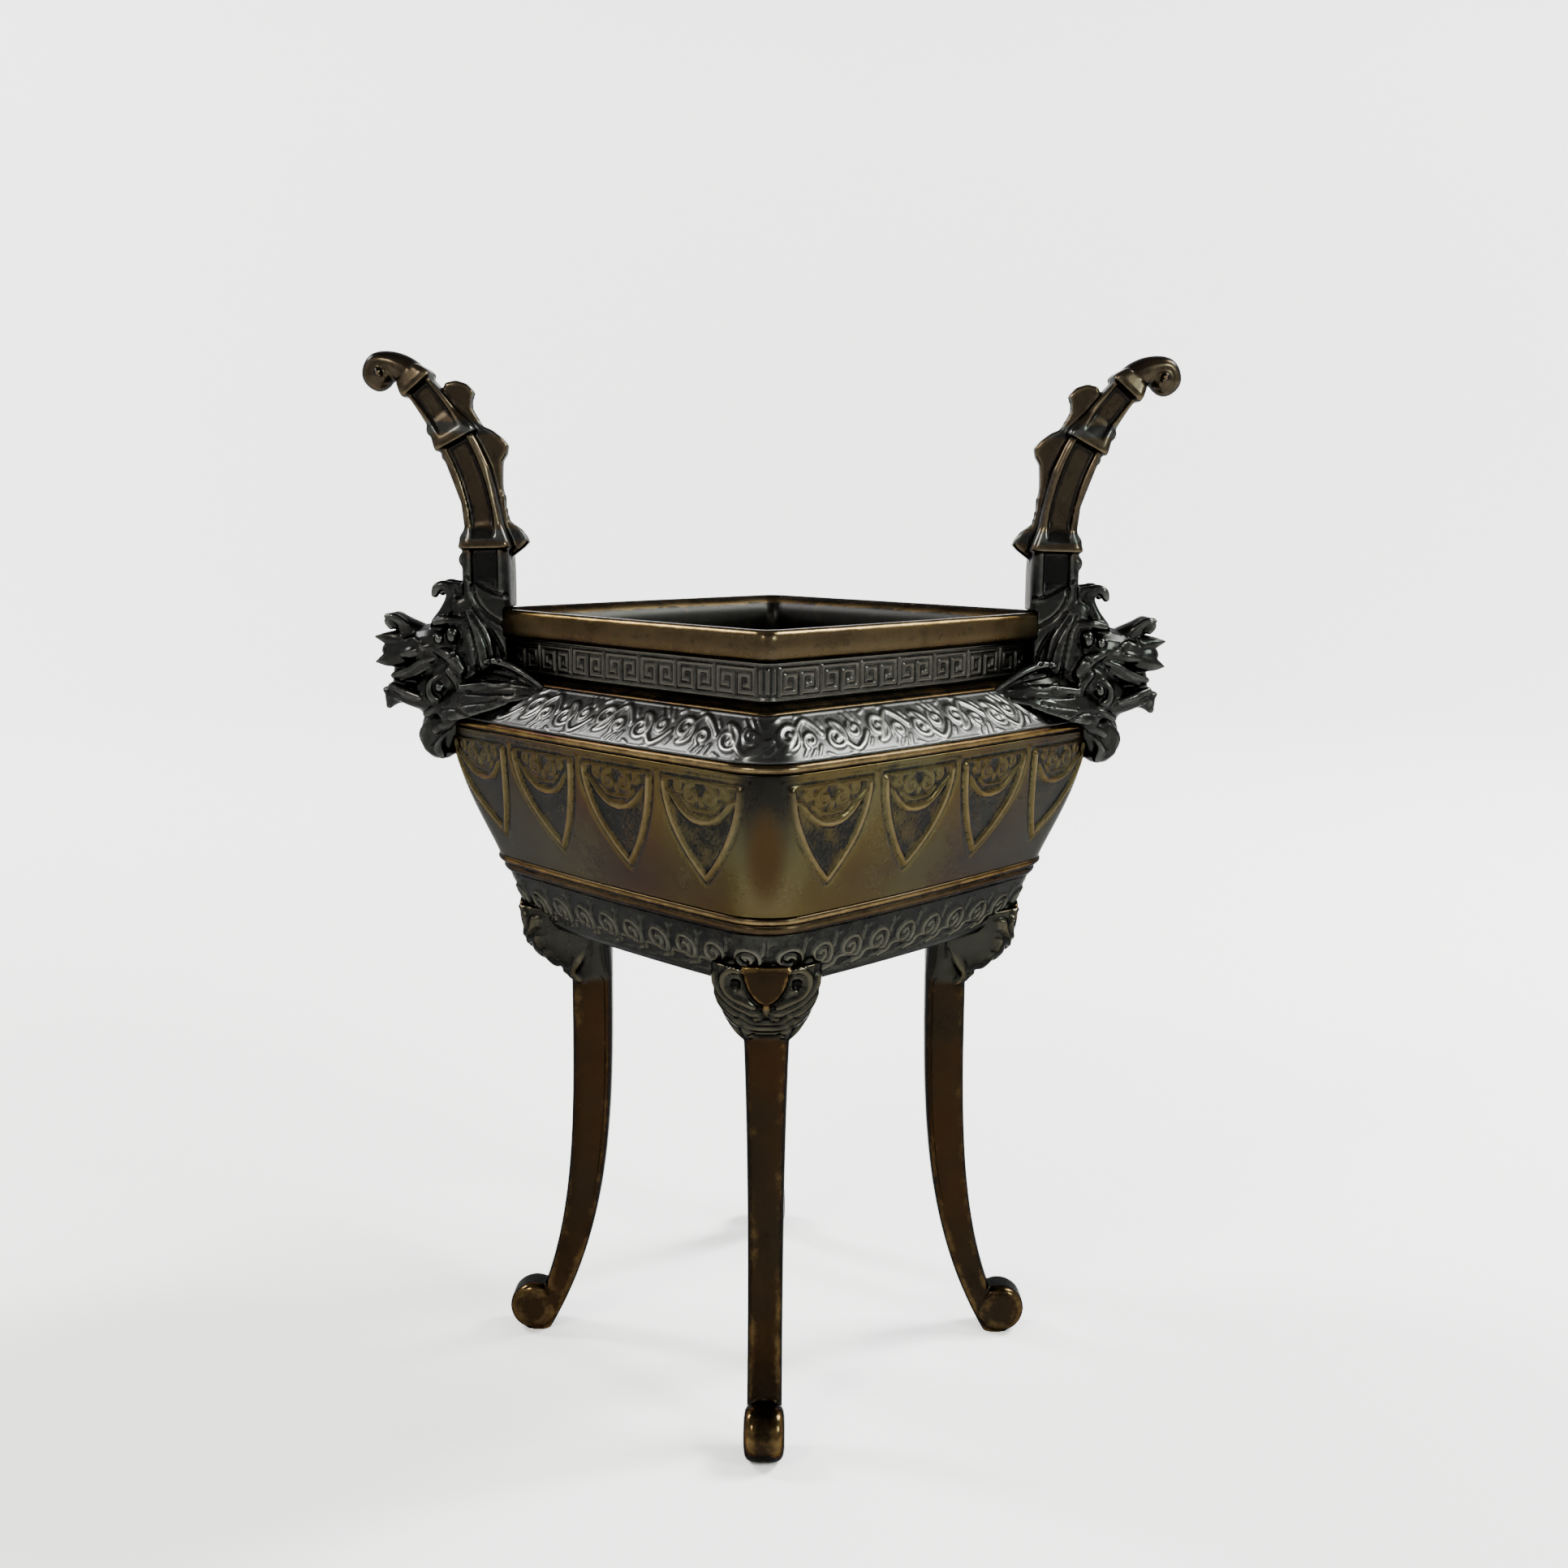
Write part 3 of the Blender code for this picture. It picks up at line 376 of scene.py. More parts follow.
def band_tree():
    """Repeats a tile along the sides and a corner tile at the corners, wraps them and welds them."""
    tree = bpy.data.node_groups.new("wrapped_band", "GeometryNodeTree")
    sockets = (
        ("Guide", "Geometry"), ("Tile", "Object"), ("Corner Tile", "Object"), ("Tiles per Side", "Int"),
        ("Sides", "Int"), ("Corner Share", "Float"), ("Weld Distance", "Float"), ("Finish", "Material"),
    )
    for label, kind in sockets:
        tree.interface.new_socket(label, in_out="INPUT", socket_type=f"NodeSocket{kind}")
    tree.interface.new_socket("Band", in_out="OUTPUT", socket_type="NodeSocketGeometry")
    start, end = tree.nodes.new("NodeGroupInput"), tree.nodes.new("NodeGroupOutput")
    per_side, sides, corner = (start.outputs[label] for label in ("Tiles per Side", "Sides", "Corner Share"))
    index = add_node(tree, "GeometryNodeInputIndex").outputs[0]
    side = maths(tree, "FLOOR", maths(tree, "DIVIDE", maths(tree, "ADD", index, 0.5), per_side))
    step = maths(tree, "SUBTRACT", index, maths(tree, "MULTIPLY", side, per_side))
    corner_width = maths(tree, "MULTIPLY", corner, 2.0)
    width = maths(tree, "DIVIDE", maths(tree, "SUBTRACT", 1.0, corner_width), per_side)
    along = maths(tree, "ADD", maths(tree, "ADD", side, corner), maths(tree, "MULTIPLY", step, width))
    corner_along = maths(tree, "SUBTRACT", maths(tree, "ADD", index, 1.0), corner)
    sets = add_node(tree, "GeometryNodeJoinGeometry")
    for label, count, x, stretch in (
        ("Tile", maths(tree, "MULTIPLY", per_side, sides), along, width),
        ("Corner Tile", sides, corner_along, corner_width),
    ):
        spot = add_node(tree, "ShaderNodeCombineXYZ", {"X": x}).outputs[0]
        points = add_node(tree, "GeometryNodePoints", {"Count": count, "Position": spot}).outputs[0]
        tile = add_node(tree, "GeometryNodeObjectInfo", {"Object": start.outputs[label]}).outputs["Geometry"]
        scale = add_node(tree, "ShaderNodeCombineXYZ", {"X": stretch, "Y": 1.0, "Z": 1.0}).outputs[0]
        placing = {"Points": points, "Instance": tile, "Scale": scale}
        tree.links.new(add_node(tree, "GeometryNodeInstanceOnPoints", placing).outputs[0], sets.inputs[0])
    flat = add_node(tree, "GeometryNodeRealizeInstances", {0: sets.outputs[0]}).outputs[0]
    here = add_node(tree, "GeometryNodeInputPosition").outputs[0]
    x, y, z = add_node(tree, "ShaderNodeSeparateXYZ", {0: here}).outputs
    spot = add_node(tree, "ShaderNodeCombineXYZ", {"X": x, "Y": y}).outputs[0]
    named = {"Name": "wrap"}
    wrap = add_node(tree, "GeometryNodeInputNamedAttribute", named, data_type="FLOAT_VECTOR").outputs[0]
    found = []
    for field in ("GeometryNodeInputPosition", "GeometryNodeInputNormal"):
        value = add_node(tree, field).outputs[0]
        sample = add_node(tree, "GeometryNodeSampleUVSurface", data_type="FLOAT_VECTOR")
        for socket, source in (
            ("Mesh", start.outputs["Guide"]), ("Value", value), (2, wrap), ("Sample UV", spot),
        ):
            tree.links.new(source, sample.inputs[socket])
        found.append(sample.outputs[0])
    lift = add_node(tree, "ShaderNodeVectorMath", {0: found[1], "Scale": z}, operation="SCALE").outputs[0]
    target = add_node(tree, "ShaderNodeVectorMath", {0: found[0], 1: lift}, operation="ADD").outputs[0]
    ring = flat
    for kind, inputs in (
        ("GeometryNodeSetPosition", {"Position": target}),
        ("GeometryNodeMergeByDistance", {"Distance": start.outputs["Weld Distance"]}),
        ("GeometryNodeSetMaterial", {"Material": start.outputs["Finish"]}),
    ):
        ring = add_node(tree, kind, {"Geometry": ring, **inputs}).outputs[0]
    tree.links.new(ring, end.inputs[0])
    return tree


def guide_mesh(band):
    """A fine strip of the casting's surface with side lengths and band share as its map."""
    turns = np.linspace(0, 4.25, guide_columns + 1)
    points, where = [], []
    for i in range(guide_rows + 1):
        share = i / guide_rows
        height, reach, corner, bow = band(share)
        x, y = plan(turns, reach + guide_lift * sqrt(2), corner, bow)
        points.append(np.stack([x, y, np.full_like(x, height)], -1))
        where.append(np.stack([turns, np.full_like(x, share), 0 * x], -1))
    faces = grid_faces(guide_rows + 1, guide_columns + 1, False)
    mesh = mesh_of("guide", np.concatenate(points), faces)
    layer = mesh.attributes.new("wrap", "FLOAT_VECTOR", "POINT")
    layer.data.foreach_set("vector", np.concatenate(where).astype(np.float32).ravel())
    return mesh


def wrapped_band(name, band, tile, corner_tile, per_side, corner_share, finish):
    """Wraps a ring of tiles round the bowl and shows it; corner_share is half a corner's part of a side."""
    host = bpy.data.objects.new(name, guide_mesh(band))
    scene.collection.objects.link(host)
    step = host.modifiers.new("band", "NODES")
    step.node_group = band_tree_group
    values = {
        "Tile": tile, "Corner Tile": corner_tile, "Tiles per Side": per_side, "Sides": 4,
        "Corner Share": corner_share, "Weld Distance": weld_distance, "Finish": finish,
    }
    for item in band_tree_group.interface.items_tree:
        if item.name in values:
            step[item.identifier] = values[item.name]
    bpy.context.view_layer.update()
    mesh = bpy.data.meshes.new_from_object(host.evaluated_get(bpy.context.evaluated_depsgraph_get()))
    mesh.shade_smooth()
    for item in (host, tile, corner_tile):
        bpy.data.objects.remove(item, do_unlink=True)
    show(name, mesh, finish, "vessel")


def edge_fade(x, width, reach):
    """0 at a tile's two ends and 1 a short way in."""
    return np.clip(np.minimum(x, width - x) / reach, 0, 1)


def wave_edges(y):
    """The plain lines that run along the foot and the top of the wave band."""
    return 0.42 * np.exp(-((y - 1.5) / 0.9) ** 4) + 0.30 * np.clip(1 - y / 0.8, 0, 1)


def wave_relief(x, y):
    """A round spiral comber whose back sweeps down to the foot line, with a second line under it."""
    width = wave_tile[0] * 1000
    curl = spiral(5.0, 7.6, 0.55, 3.75, 150, -560, 34)
    back = smooth_path([curl[-1], (1.2, 5.6), (-0.4, 3.7), (-3.4, 2.9)])
    lines = (
        (1.0, np.vstack([curl, back[1:]]), 0.72),
        (0.9, [(5.0, 7.6), (5.05, 7.6)], 0.95),
        (0.8, smooth_path([(8.9, 5.3), (6.4, 3.3), (3.4, 2.7)]), 0.6, 0.3),
        (0.7, smooth_path([(-0.6, 9.0), (-0.1, 11.2), (1.5, 12.6)]), 0.7, 0.5),
        (0.6, [(9.4, 12.4), (9.7, 11.4)], 0.6),
    )
    height = np.maximum.reduce([strokes(x - shift, y, lines) for shift in (-width, 0, width, 2 * width)])
    return np.maximum(0.16 + 0.84 * height, 0.16 + wave_edges(y))


def wave_corner(x, y):
    """Plain ground at the corner with the foot line carried across."""
    fade = edge_fade(x, narrow_corner * 1000, 0.25)
    return fade * (0.16 + wave_edges(y)) + (1 - fade) * wave_relief(0 * x, y)


band_tree_group = band_tree()
wave_bronze = bronze(
    "wave_bronze",
    ((0.002, 0.002, 0.002), (0.0145, 0.0145, 0.0120), (0.018, 0.018, 0.015), (0.038, 0.036, 0.028)),
    gold_from=0.60, roughness=0.20, sheen=0.08,
)
wave_tile_mesh = tile_mesh("wave_tile", wave_tile, 28, 42, wave_relief, wave_proud)
wave_corner_mesh = tile_mesh("wave_corner", (narrow_corner, wave_tile[1]), 4, 42, wave_corner, wave_proud)
wrapped_band("wave_band", wave_band, wave_tile_mesh, wave_corner_mesh, wave_count, narrow_share, wave_bronze)

# The belly: the smooth olive-brown part of the bowl's casting, with four pointed leaves in low
# relief hanging on each side under the rib. Each leaf has a rubbed border, a granular sunk ground
# and a pair of cloud curls over a curved lip.
leaf_tile = (0.0274, 0.0356)
leaf_count = 4
leaf_proud = 0.0011
plain_level = 0.42
# The leaf's outline in millimetres
leaf_length = 26.6
leaf_half_width = 12.2
leaf_drop = 1.7
leaf_border = 0.95


def leaf_edge_gap(x, y):
    """Distance in millimetres inside the leaf's outline, below zero outside it."""
    top = leaf_tile[1] * 1000 - leaf_drop
    drop = (top - y) / leaf_length
    t = np.linspace(0, 1, 60)
    edge = np.stack([leaf_half_width * (1 - t ** 2.2), top - leaf_length * t], -1)
    gap = np.full_like(x, 1e3)
    side = np.abs(x)
    for a, b in zip(edge, edge[1:]):
        d = b - a
        share = np.clip(((side - a[0]) * d[0] + (y - a[1]) * d[1]) / (d @ d), 0, 1)
        gap = np.minimum(gap, np.hypot(side - a[0] - share * d[0], y - a[1] - share * d[1]))
    top_gap = np.abs(drop * leaf_length)
    inside = (drop > 0) & (drop < 1) & (side < leaf_half_width * (1 - np.clip(drop, 0, 1) ** 2.2))
    return np.where(inside, np.minimum(gap, top_gap), -np.where(drop < 0, top_gap, gap))


def speckle(x, y, size, seed):
    """Soft random grain in millimetres, 0 to 1, the same at every run."""
    random = np.random.default_rng(seed)
    total = np.zeros_like(x)
    for _ in range(26):
        angle = random.uniform(0, 2 * pi)
        phase = random.uniform(0, 2 * pi)
        pitch = random.uniform(0.8, 1.6) * size
        total += np.sin((x * np.cos(angle) + y * np.sin(angle)) * 2 * pi / pitch + phase)
    return 0.5 + total / 26 * 1.6


def leaf_relief(x, y):
    """One leaf on plain ground, in tile millimetres."""
    x = x - leaf_tile[0] * 500
    down = y - (leaf_tile[1] * 1000 - leaf_drop)
    gap = leaf_edge_gap(x, y)
    moat = np.exp(-((gap + 0.45) / 0.45) ** 2) * (gap < 0.3)
    border = np.clip(1 - ((gap - leaf_border) / leaf_border) ** 4, 0, 1)
    border = border * np.clip((-0.7 - down) / 1.4, 0, 1)
    field = np.clip((gap - 2 * leaf_border) / 0.3, 0, 1)
    relief = np.where(gap > 0, 0.12 + 0.10 * speckle(x, y, 0.9, 4) * field, plain_level - 0.20 * moat)
    relief = np.maximum(relief, 0.86 * border * (gap > 0))
    lip = smooth_path([(10.3, -4.4), (8.4, -6.0), (6.2, -8.4), (3.2, -10.4), (0, -10.9)])
    curls = (
        (0.56, spiral(2.6, -4.6, 0.5, 2.5, 30, 430), 0.85),
        (0.50, spiral(6.7, -2.9, 0.4, 1.5, 200, -320), 0.75),
        (0.50, smooth_path([(0, -1.3), (2.6, -1.0), (5.2, -1.6), (8.0, -1.0), (10.6, -1.5)]), 0.6),
        (1.00, lip[::-1], 1.15, 0.45),
        (0.50, smooth_path([(5.6, -6.2), (3.4, -8.0), (0, -8.4)]), 0.6),
        (0.62, [(0, -6.6), (0, -5.6)], 0.9),
    )
    carved = np.maximum(strokes(x, down, curls), strokes(-x, down, curls))
    return np.maximum(relief, np.where(gap > leaf_border, 0.12 + 0.78 * carved, 0))


def belly_ground(x, y):
    return np.full_like(x, plain_level)


def paint_corner_highlights(material):
    """Paints an amber highlight down the middle of each of the belly's corners, with painted shade round it
    that deepens towards the rib.
    """
    tree = material.node_tree
    place = add_node(tree, "ShaderNodeTexCoord").outputs["Object"]
    x, y, height = add_node(tree, "ShaderNodeSeparateXYZ", {0: place}).outputs
    off_corner = maths(tree, "MINIMUM", maths(tree, "ABSOLUTE", x), maths(tree, "ABSOLUTE", y))
    off_corner = maths(tree, "ADD", off_corner, maths(tree, "MULTIPLY", noise(tree, 120.0), 0.0016))
    across = maths(tree, "POWER", maths(tree, "DIVIDE", off_corner, 0.0058), 2.0)
    upward = maths(tree, "SUBTRACT", height, (belly_foot + belly_top) / 2 - 0.002)
    upward = maths(tree, "POWER", maths(tree, "DIVIDE", maths(tree, "ABSOLUTE", upward), 0.0125), 2.0)
    soft = {"interpolation_type": "SMOOTHSTEP"}
    # Painted highlight: an amber streak down the middle of each corner
    painted_highlight = ramp(tree, maths(tree, "ADD", across, upward), 1.3, 0.1, **soft)
    above = ramp(tree, height, belly_foot + 0.006, belly_top - 0.0040, **soft)
    # Painted shade round each corner, deepening towards the rib
    shadow = maths(tree, "MULTIPLY", ramp(tree, off_corner, 0.0095, 0.0045, **soft), above)
    base = tree.nodes["Principled BSDF"].inputs["Base Color"]
    colour = blend(tree, shadow, base.links[0].from_socket, (0.003, 0.0026, 0.0016))
    tree.links.new(blend(tree, painted_highlight, colour, (0.016, 0.0078, 0.0010)), base)


belly_bronze = bronze(
    "belly_bronze",
    ((0.004, 0.004, 0.003), (0.029, 0.0200, 0.0055), (0.033, 0.028, 0.0120), (0.062, 0.046, 0.021)),
    gold_from=0.58, roughness=0.17, sheen=0.10, blotch=0.10,
)
# A painted highlight down each corner of the belly, with painted shade round it
paint_corner_highlights(belly_bronze)
leaf_tile_mesh = tile_mesh("leaf_tile", leaf_tile, 66, 84, leaf_relief, leaf_proud)
leaf_corner_mesh = tile_mesh("leaf_corner", (wide_corner, leaf_tile[1]), 14, 84, belly_ground, leaf_proud)
wrapped_band("belly", belly_band, leaf_tile_mesh, leaf_corner_mesh, leaf_count, wide_share, belly_bronze)

# The shoulder: a dark sloping band packed with cloud scrolls, worn to a silvery sheen. It is chased
# on the casting between the upper rib and the ridge under the neck.
cloud_tile = (0.0272, 0.0116)
cloud_count = 4
cloud_proud = 0.00030


def cloud_relief(x, y):
    """Large cloud scrolls that turn up and down in turn, with leaf strokes fanned between them."""
    width = cloud_tile[0] * 1000
    middle = cloud_tile[1] * 500
    curl = spiral(4.4, 6.4, 0.7, 3.5, 60, -520, 30)
    tail = smooth_path([curl[-1], (8.6, 9.6), (11.6, 8.9), (14.2, 6.2)])
    leaves = (
        ((8.2, 1.4), (9.4, 3.2)), ((10.2, 1.0), (11.4, 2.6)), ((12.2, 1.3), (13.2, 3.4)),
        ((1.0, 10.2), (2.6, 10.9)), ((7.4, 10.9), (9.2, 11.0)), ((0.2, 2.2), (1.2, 3.6)),
    )
    lines = [(1.0, np.vstack([curl, tail[1:]]), 0.85), (0.9, spiral(10.6, 5.0, 0.5, 2.1, 200, 400, 24), 0.72)]
    lines += [(0.75, leaf, 0.62, 0.4) for leaf in leaves]
    height = np.zeros_like(x)
    for shift in (-width, 0, width):
        height = np.maximum(height, strokes(x - shift, y, lines))
        height = np.maximum(height, strokes(x - shift - width / 2, 2 * middle - y, lines))
    edges = np.exp(-((y - 0.4) / 0.3) ** 4) + np.exp(-((y - 11.3) / 0.25) ** 4)
    return np.maximum(0.14 + 0.86 * height, 0.14 + 0.4 * edges)


def cloud_corner(x, y):
    return cloud_relief(0 * x, y)


shoulder_bronze = bronze(
    "shoulder_bronze",
    ((0.009, 0.009, 0.0085), (0.021, 0.021, 0.020), (0.029, 0.029, 0.0275), (0.048, 0.047, 0.043)),
    gold_from=0.68, roughness=0.27, sheen=0.30, blotch=0.4,
)
cloud_tile_mesh = tile_mesh("cloud_tile", cloud_tile, 80, 36, cloud_relief, cloud_proud)
cloud_corner_size = (narrow_corner, cloud_tile[1])
cloud_corner_mesh = tile_mesh("cloud_corner", cloud_corner_size, 4, 36, cloud_corner, cloud_proud)
cloud_meshes = (cloud_tile_mesh, cloud_corner_mesh)
wrapped_band("shoulder", shoulder_band, *cloud_meshes, cloud_count, narrow_share, shoulder_bronze)

# The neck: an upright dark band of squared key fret between two lines, seven double keys to a side
# and a small upright panel at each corner, chased on the casting like the bands below it.
fret_tile = (0.0132, 0.0097)
fret_count = 7
fret_proud = 0.00042


def fret_lines(y):
    return np.exp(-((y - 0.75) / 0.42) ** 6) + np.exp(-((y - 8.95) / 0.42) ** 6)


def fret_relief(x, y):
    """Two squared spirals that turn in towards each other from a shared top line."""
    height = 0.9 * fret_lines(y)
    key = ((6.6, 7.6), (0.8, 7.6), (0.8, 2.1), (5.5, 2.1), (5.5, 6.1), (2.4, 6.1), (2.4, 3.7), (3.9, 3.7))
    for fx in (x, fret_tile[0] * 1000 - x):
        for a, b in zip(key, key[1:]):
            near_x = np.clip(fx, min(a[0], b[0]), max(a[0], b[0]))
            near_y = np.clip(y, min(a[1], b[1]), max(a[1], b[1]))
            gap = np.maximum(np.abs(fx - near_x), np.abs(y - near_y))
            height = np.maximum(height, np.clip((0.62 - gap) / 0.25, 0, 1))
    return 0.12 + 0.88 * height


def fret_corner(x, y):
    """Upright strokes on the corner's panel."""
    height = 0.9 * fret_lines(y)
    for centre in (0.9, 2.5, 4.1):
        gap = np.maximum(np.abs(x - centre), np.abs(y - 4.9) - 2.5)
        height = np.maximum(height, np.clip((0.50 - gap) / 0.25, 0, 1))
    return 0.12 + 0.88 * height * np.maximum(edge_fade(x, wide_corner * 1000, 0.4), 0.9 * fret_lines(y) > 0.5)


neck_bronze = bronze(
    "neck_bronze",
    ((0.006, 0.006, 0.005), (0.022, 0.0215, 0.019), (0.027, 0.026, 0.0225), (0.038, 0.035, 0.029)),
    gold_from=0.64, roughness=0.20, sheen=0.12,
)
fret_tile_mesh = tile_mesh("fret_tile", fret_tile, 44, 32, fret_relief, fret_proud)
fret_corner_mesh = tile_mesh("fret_corner", (wide_corner, fret_tile[1]), 20, 32, fret_corner, fret_proud)
wrapped_band("neck", neck_band, fret_tile_mesh, fret_corner_mesh, fret_count, wide_share, neck_bronze)

# The legs: four bronze castings brazed under the bowl's corners, one turned to each. A beast mask
# covers the knee, and the slim post leans out to a rolled toe.
leg_reach = 0.0530
leg_depth = 0.0108
leg_width = 0.0086
leg_top_width = 0.0112
lean_in = 0.0180
lean_out = 0.0143
lean_in_power = 3.7
lean_out_power = 4.2
knee_rise = 0.0052
knee_height = 0.0217
knee_reach = 0.0660
knee_width = 0.0262
knee_top = underside + knee_rise
knee_foot = knee_top - knee_height
toe_reach = 0.0648
toe_radius = 0.0067
toe_width = 0.0100
leg_voxel = 0.00042
# Where the mask's forehead starts, in millimetres over the floor
brow_foot = 112.4


def skin_part(rings):
    """A closed skin over rings of points, fanned shut at both ends."""
    rings = [np.asarray(ring, float) for ring in rings]
    count = len(rings[0])
    points = np.vstack([*rings, rings[0].mean(0)[None], rings[-1].mean(0)[None]])
    faces = grid_faces(len(rings), count, True).tolist()
    first, last, end = len(points) - 2, len(points) - 1, (len(rings) - 1) * count
    for i in range(count):
        faces.append([first, (i + 1) % count, i])
        faces.append([last, end + i, end + (i + 1) % count])
    return points, faces


def bar(path, radii, up=(0, 1, 0), flat=1.0, sides=14, steps=6):
    """A round bar with domed ends along a smooth path in millimetres, squashed by flat along up."""
    controls = np.hstack([np.asarray(path, float), np.asarray(radii, float)[:, None]])
    line = smooth_path(controls, steps)
    centre, radius = line[:, :3], line[:, 3]
    along = np.gradient(centre, axis=0)
    along /= np.linalg.norm(along, axis=1)[:, None] + 1e-9
    up = np.asarray(up, float)
    across = np.cross(along, up)
    across /= np.linalg.norm(across, axis=1)[:, None] + 1e-9
    lift = np.cross(across, along)
    angle = np.linspace(0, 2 * pi, sides, endpoint=False)[:, None]
    rings = []
    stations = [(0, -a, cos(a)) for a in (1.35, 0.9, 0.45)]
    stations += [(i, 0.0, 1.0) for i in range(len(line))]
    stations += [(len(line) - 1, a, cos(a)) for a in (0.45, 0.9, 1.35)]
    for i, dome, size in stations:
        middle = centre[i] + along[i] * radius[i] * sin(dome)
        rings.append(middle + radius[i] * size * (np.cos(angle) * across[i] + flat * np.sin(angle) * lift[i]))
    return skin_part([ring / 1000 for ring in rings])


def ball(centre, radii):
    """An ellipsoid in millimetres."""
    rings = []
    angle = np.linspace(0, 2 * pi, 16, endpoint=False)
    for slope in np.linspace(-1.5, 1.5, 11):
        x = np.full_like(angle, radii[0] * sin(slope))
        y = radii[1] * cos(slope) * np.cos(angle)
        z = radii[2] * cos(slope) * np.sin(angle)
        rings.append((np.stack([x, y, z], -1) + np.asarray(centre)) / 1000)
    return skin_part(rings)


def leg_edges(height):
    """Inner and outer reach of the post at a height."""
    share = 1 - height / underside
    inner = leg_reach - leg_depth + lean_in * share ** lean_in_power
    return inner, leg_reach + lean_out * share ** lean_out_power


def round_block(height, inner, outer, width, squareness, sides=36):
    """A rounded block's ring at a height, from an inner to an outer reach."""
    angle = np.linspace(0, 2 * pi, sides, endpoint=False)
    c, s = np.cos(angle), np.sin(angle)
    x = (inner + outer) / 2 + (outer - inner) / 2 * np.sign(c) * np.abs(c) ** (2 / squareness)
    y = width / 2 * np.sign(s) * np.abs(s) ** (2 / squareness)
    return np.stack([x, y, np.full_like(x, height)], -1)


def knee_size(share):
    """Outer reach and width of the knee, share 0 at its top and 1 at its foot."""
    reach = leg_reach + (1 - share ** 3.2) ** 1.7 * (knee_reach - leg_reach)
    return reach, leg_top_width + (1 - share ** 3) ** 1.6 * (knee_width - leg_top_width)


def cast(name, parts, voxel, shape, wear, tone, zone, smoothing=2):
    """Melts overlapping parts into one skin, smooths it, shapes it and marks what would be rubbed.

    tone is added to the rub and may carry painted shade and sheen; zone picks between the bronze's two sets of
    colours.
    """
    points, faces = [], []
    for part_points, part_faces in parts:
        base = sum(len(p) for p in points)
        points.append(part_points)
        faces += [[base + i for i in face] for face in part_faces]
    rough = mesh_of(name, np.vstack(points), faces)
    work = bmesh.new()
    work.from_mesh(rough)
    bmesh.ops.recalc_face_normals(work, faces=work.faces)
    work.to_mesh(rough)
    work.free()
    host = bpy.data.objects.new(name, rough)
    scene.collection.objects.link(host)
    step = host.modifiers.new("melt", "REMESH")
    step.mode = "VOXEL"
    step.voxel_size = voxel
    bpy.context.view_layer.update()
    mesh = bpy.data.meshes.new_from_object(host.evaluated_get(bpy.context.evaluated_depsgraph_get()))
    bpy.data.objects.remove(host, do_unlink=True)
    count = len(mesh.vertices)
    place = np.zeros(count * 3)
    mesh.vertices.foreach_get("co", place)
    place = place.reshape(-1, 3)
    edges = np.zeros(len(mesh.edges) * 2, int)
    mesh.edges.foreach_get("vertices", edges)
    ends = np.concatenate([edges.reshape(-1, 2), edges.reshape(-1, 2)[:, ::-1]])
    degree = np.bincount(ends[:, 0], minlength=count)[:, None]

    def relaxed(values, times):
        for _ in range(times):
            near = [np.bincount(ends[:, 0], column[ends[:, 1]], count) for column in values.T]
            values = values + 0.5 * (np.stack(near, -1) / degree - values)
        return values

    def normals():
        mesh.vertices.foreach_set("co", place.ravel())
        mesh.update()
        found = np.zeros(count * 3)
        mesh.vertex_normals.foreach_get("vector", found)
        return found.reshape(-1, 3)

    place = relaxed(place, smoothing)
    place = shape(place, normals())
    facing = normals()
    proud = ((place - relaxed(place, 14)) * facing).sum(1)
    rub = relaxed(np.clip(0.46 + 0.5 * proud / wear + tone(place), 0, 1)[:, None], 1)
    for label, values in (("rub", rub), ("zone", zone(place))):
        layer = mesh.attributes.new(label, "FLOAT", "POINT")
        layer.data.foreach_set("value", values.astype(np.float32).ravel())
    mesh.shade_smooth()
    return mesh


def forehead(side, height):
    """Over 0 inside the mask's forehead, a shield that narrows down to the nose."""
    width = 0.3 + 5.4 * np.sqrt(np.clip((height - brow_foot) / 8.5, 0, 1))
    return np.where(height > brow_foot, 1 - (side / width) ** 2, -1.0)


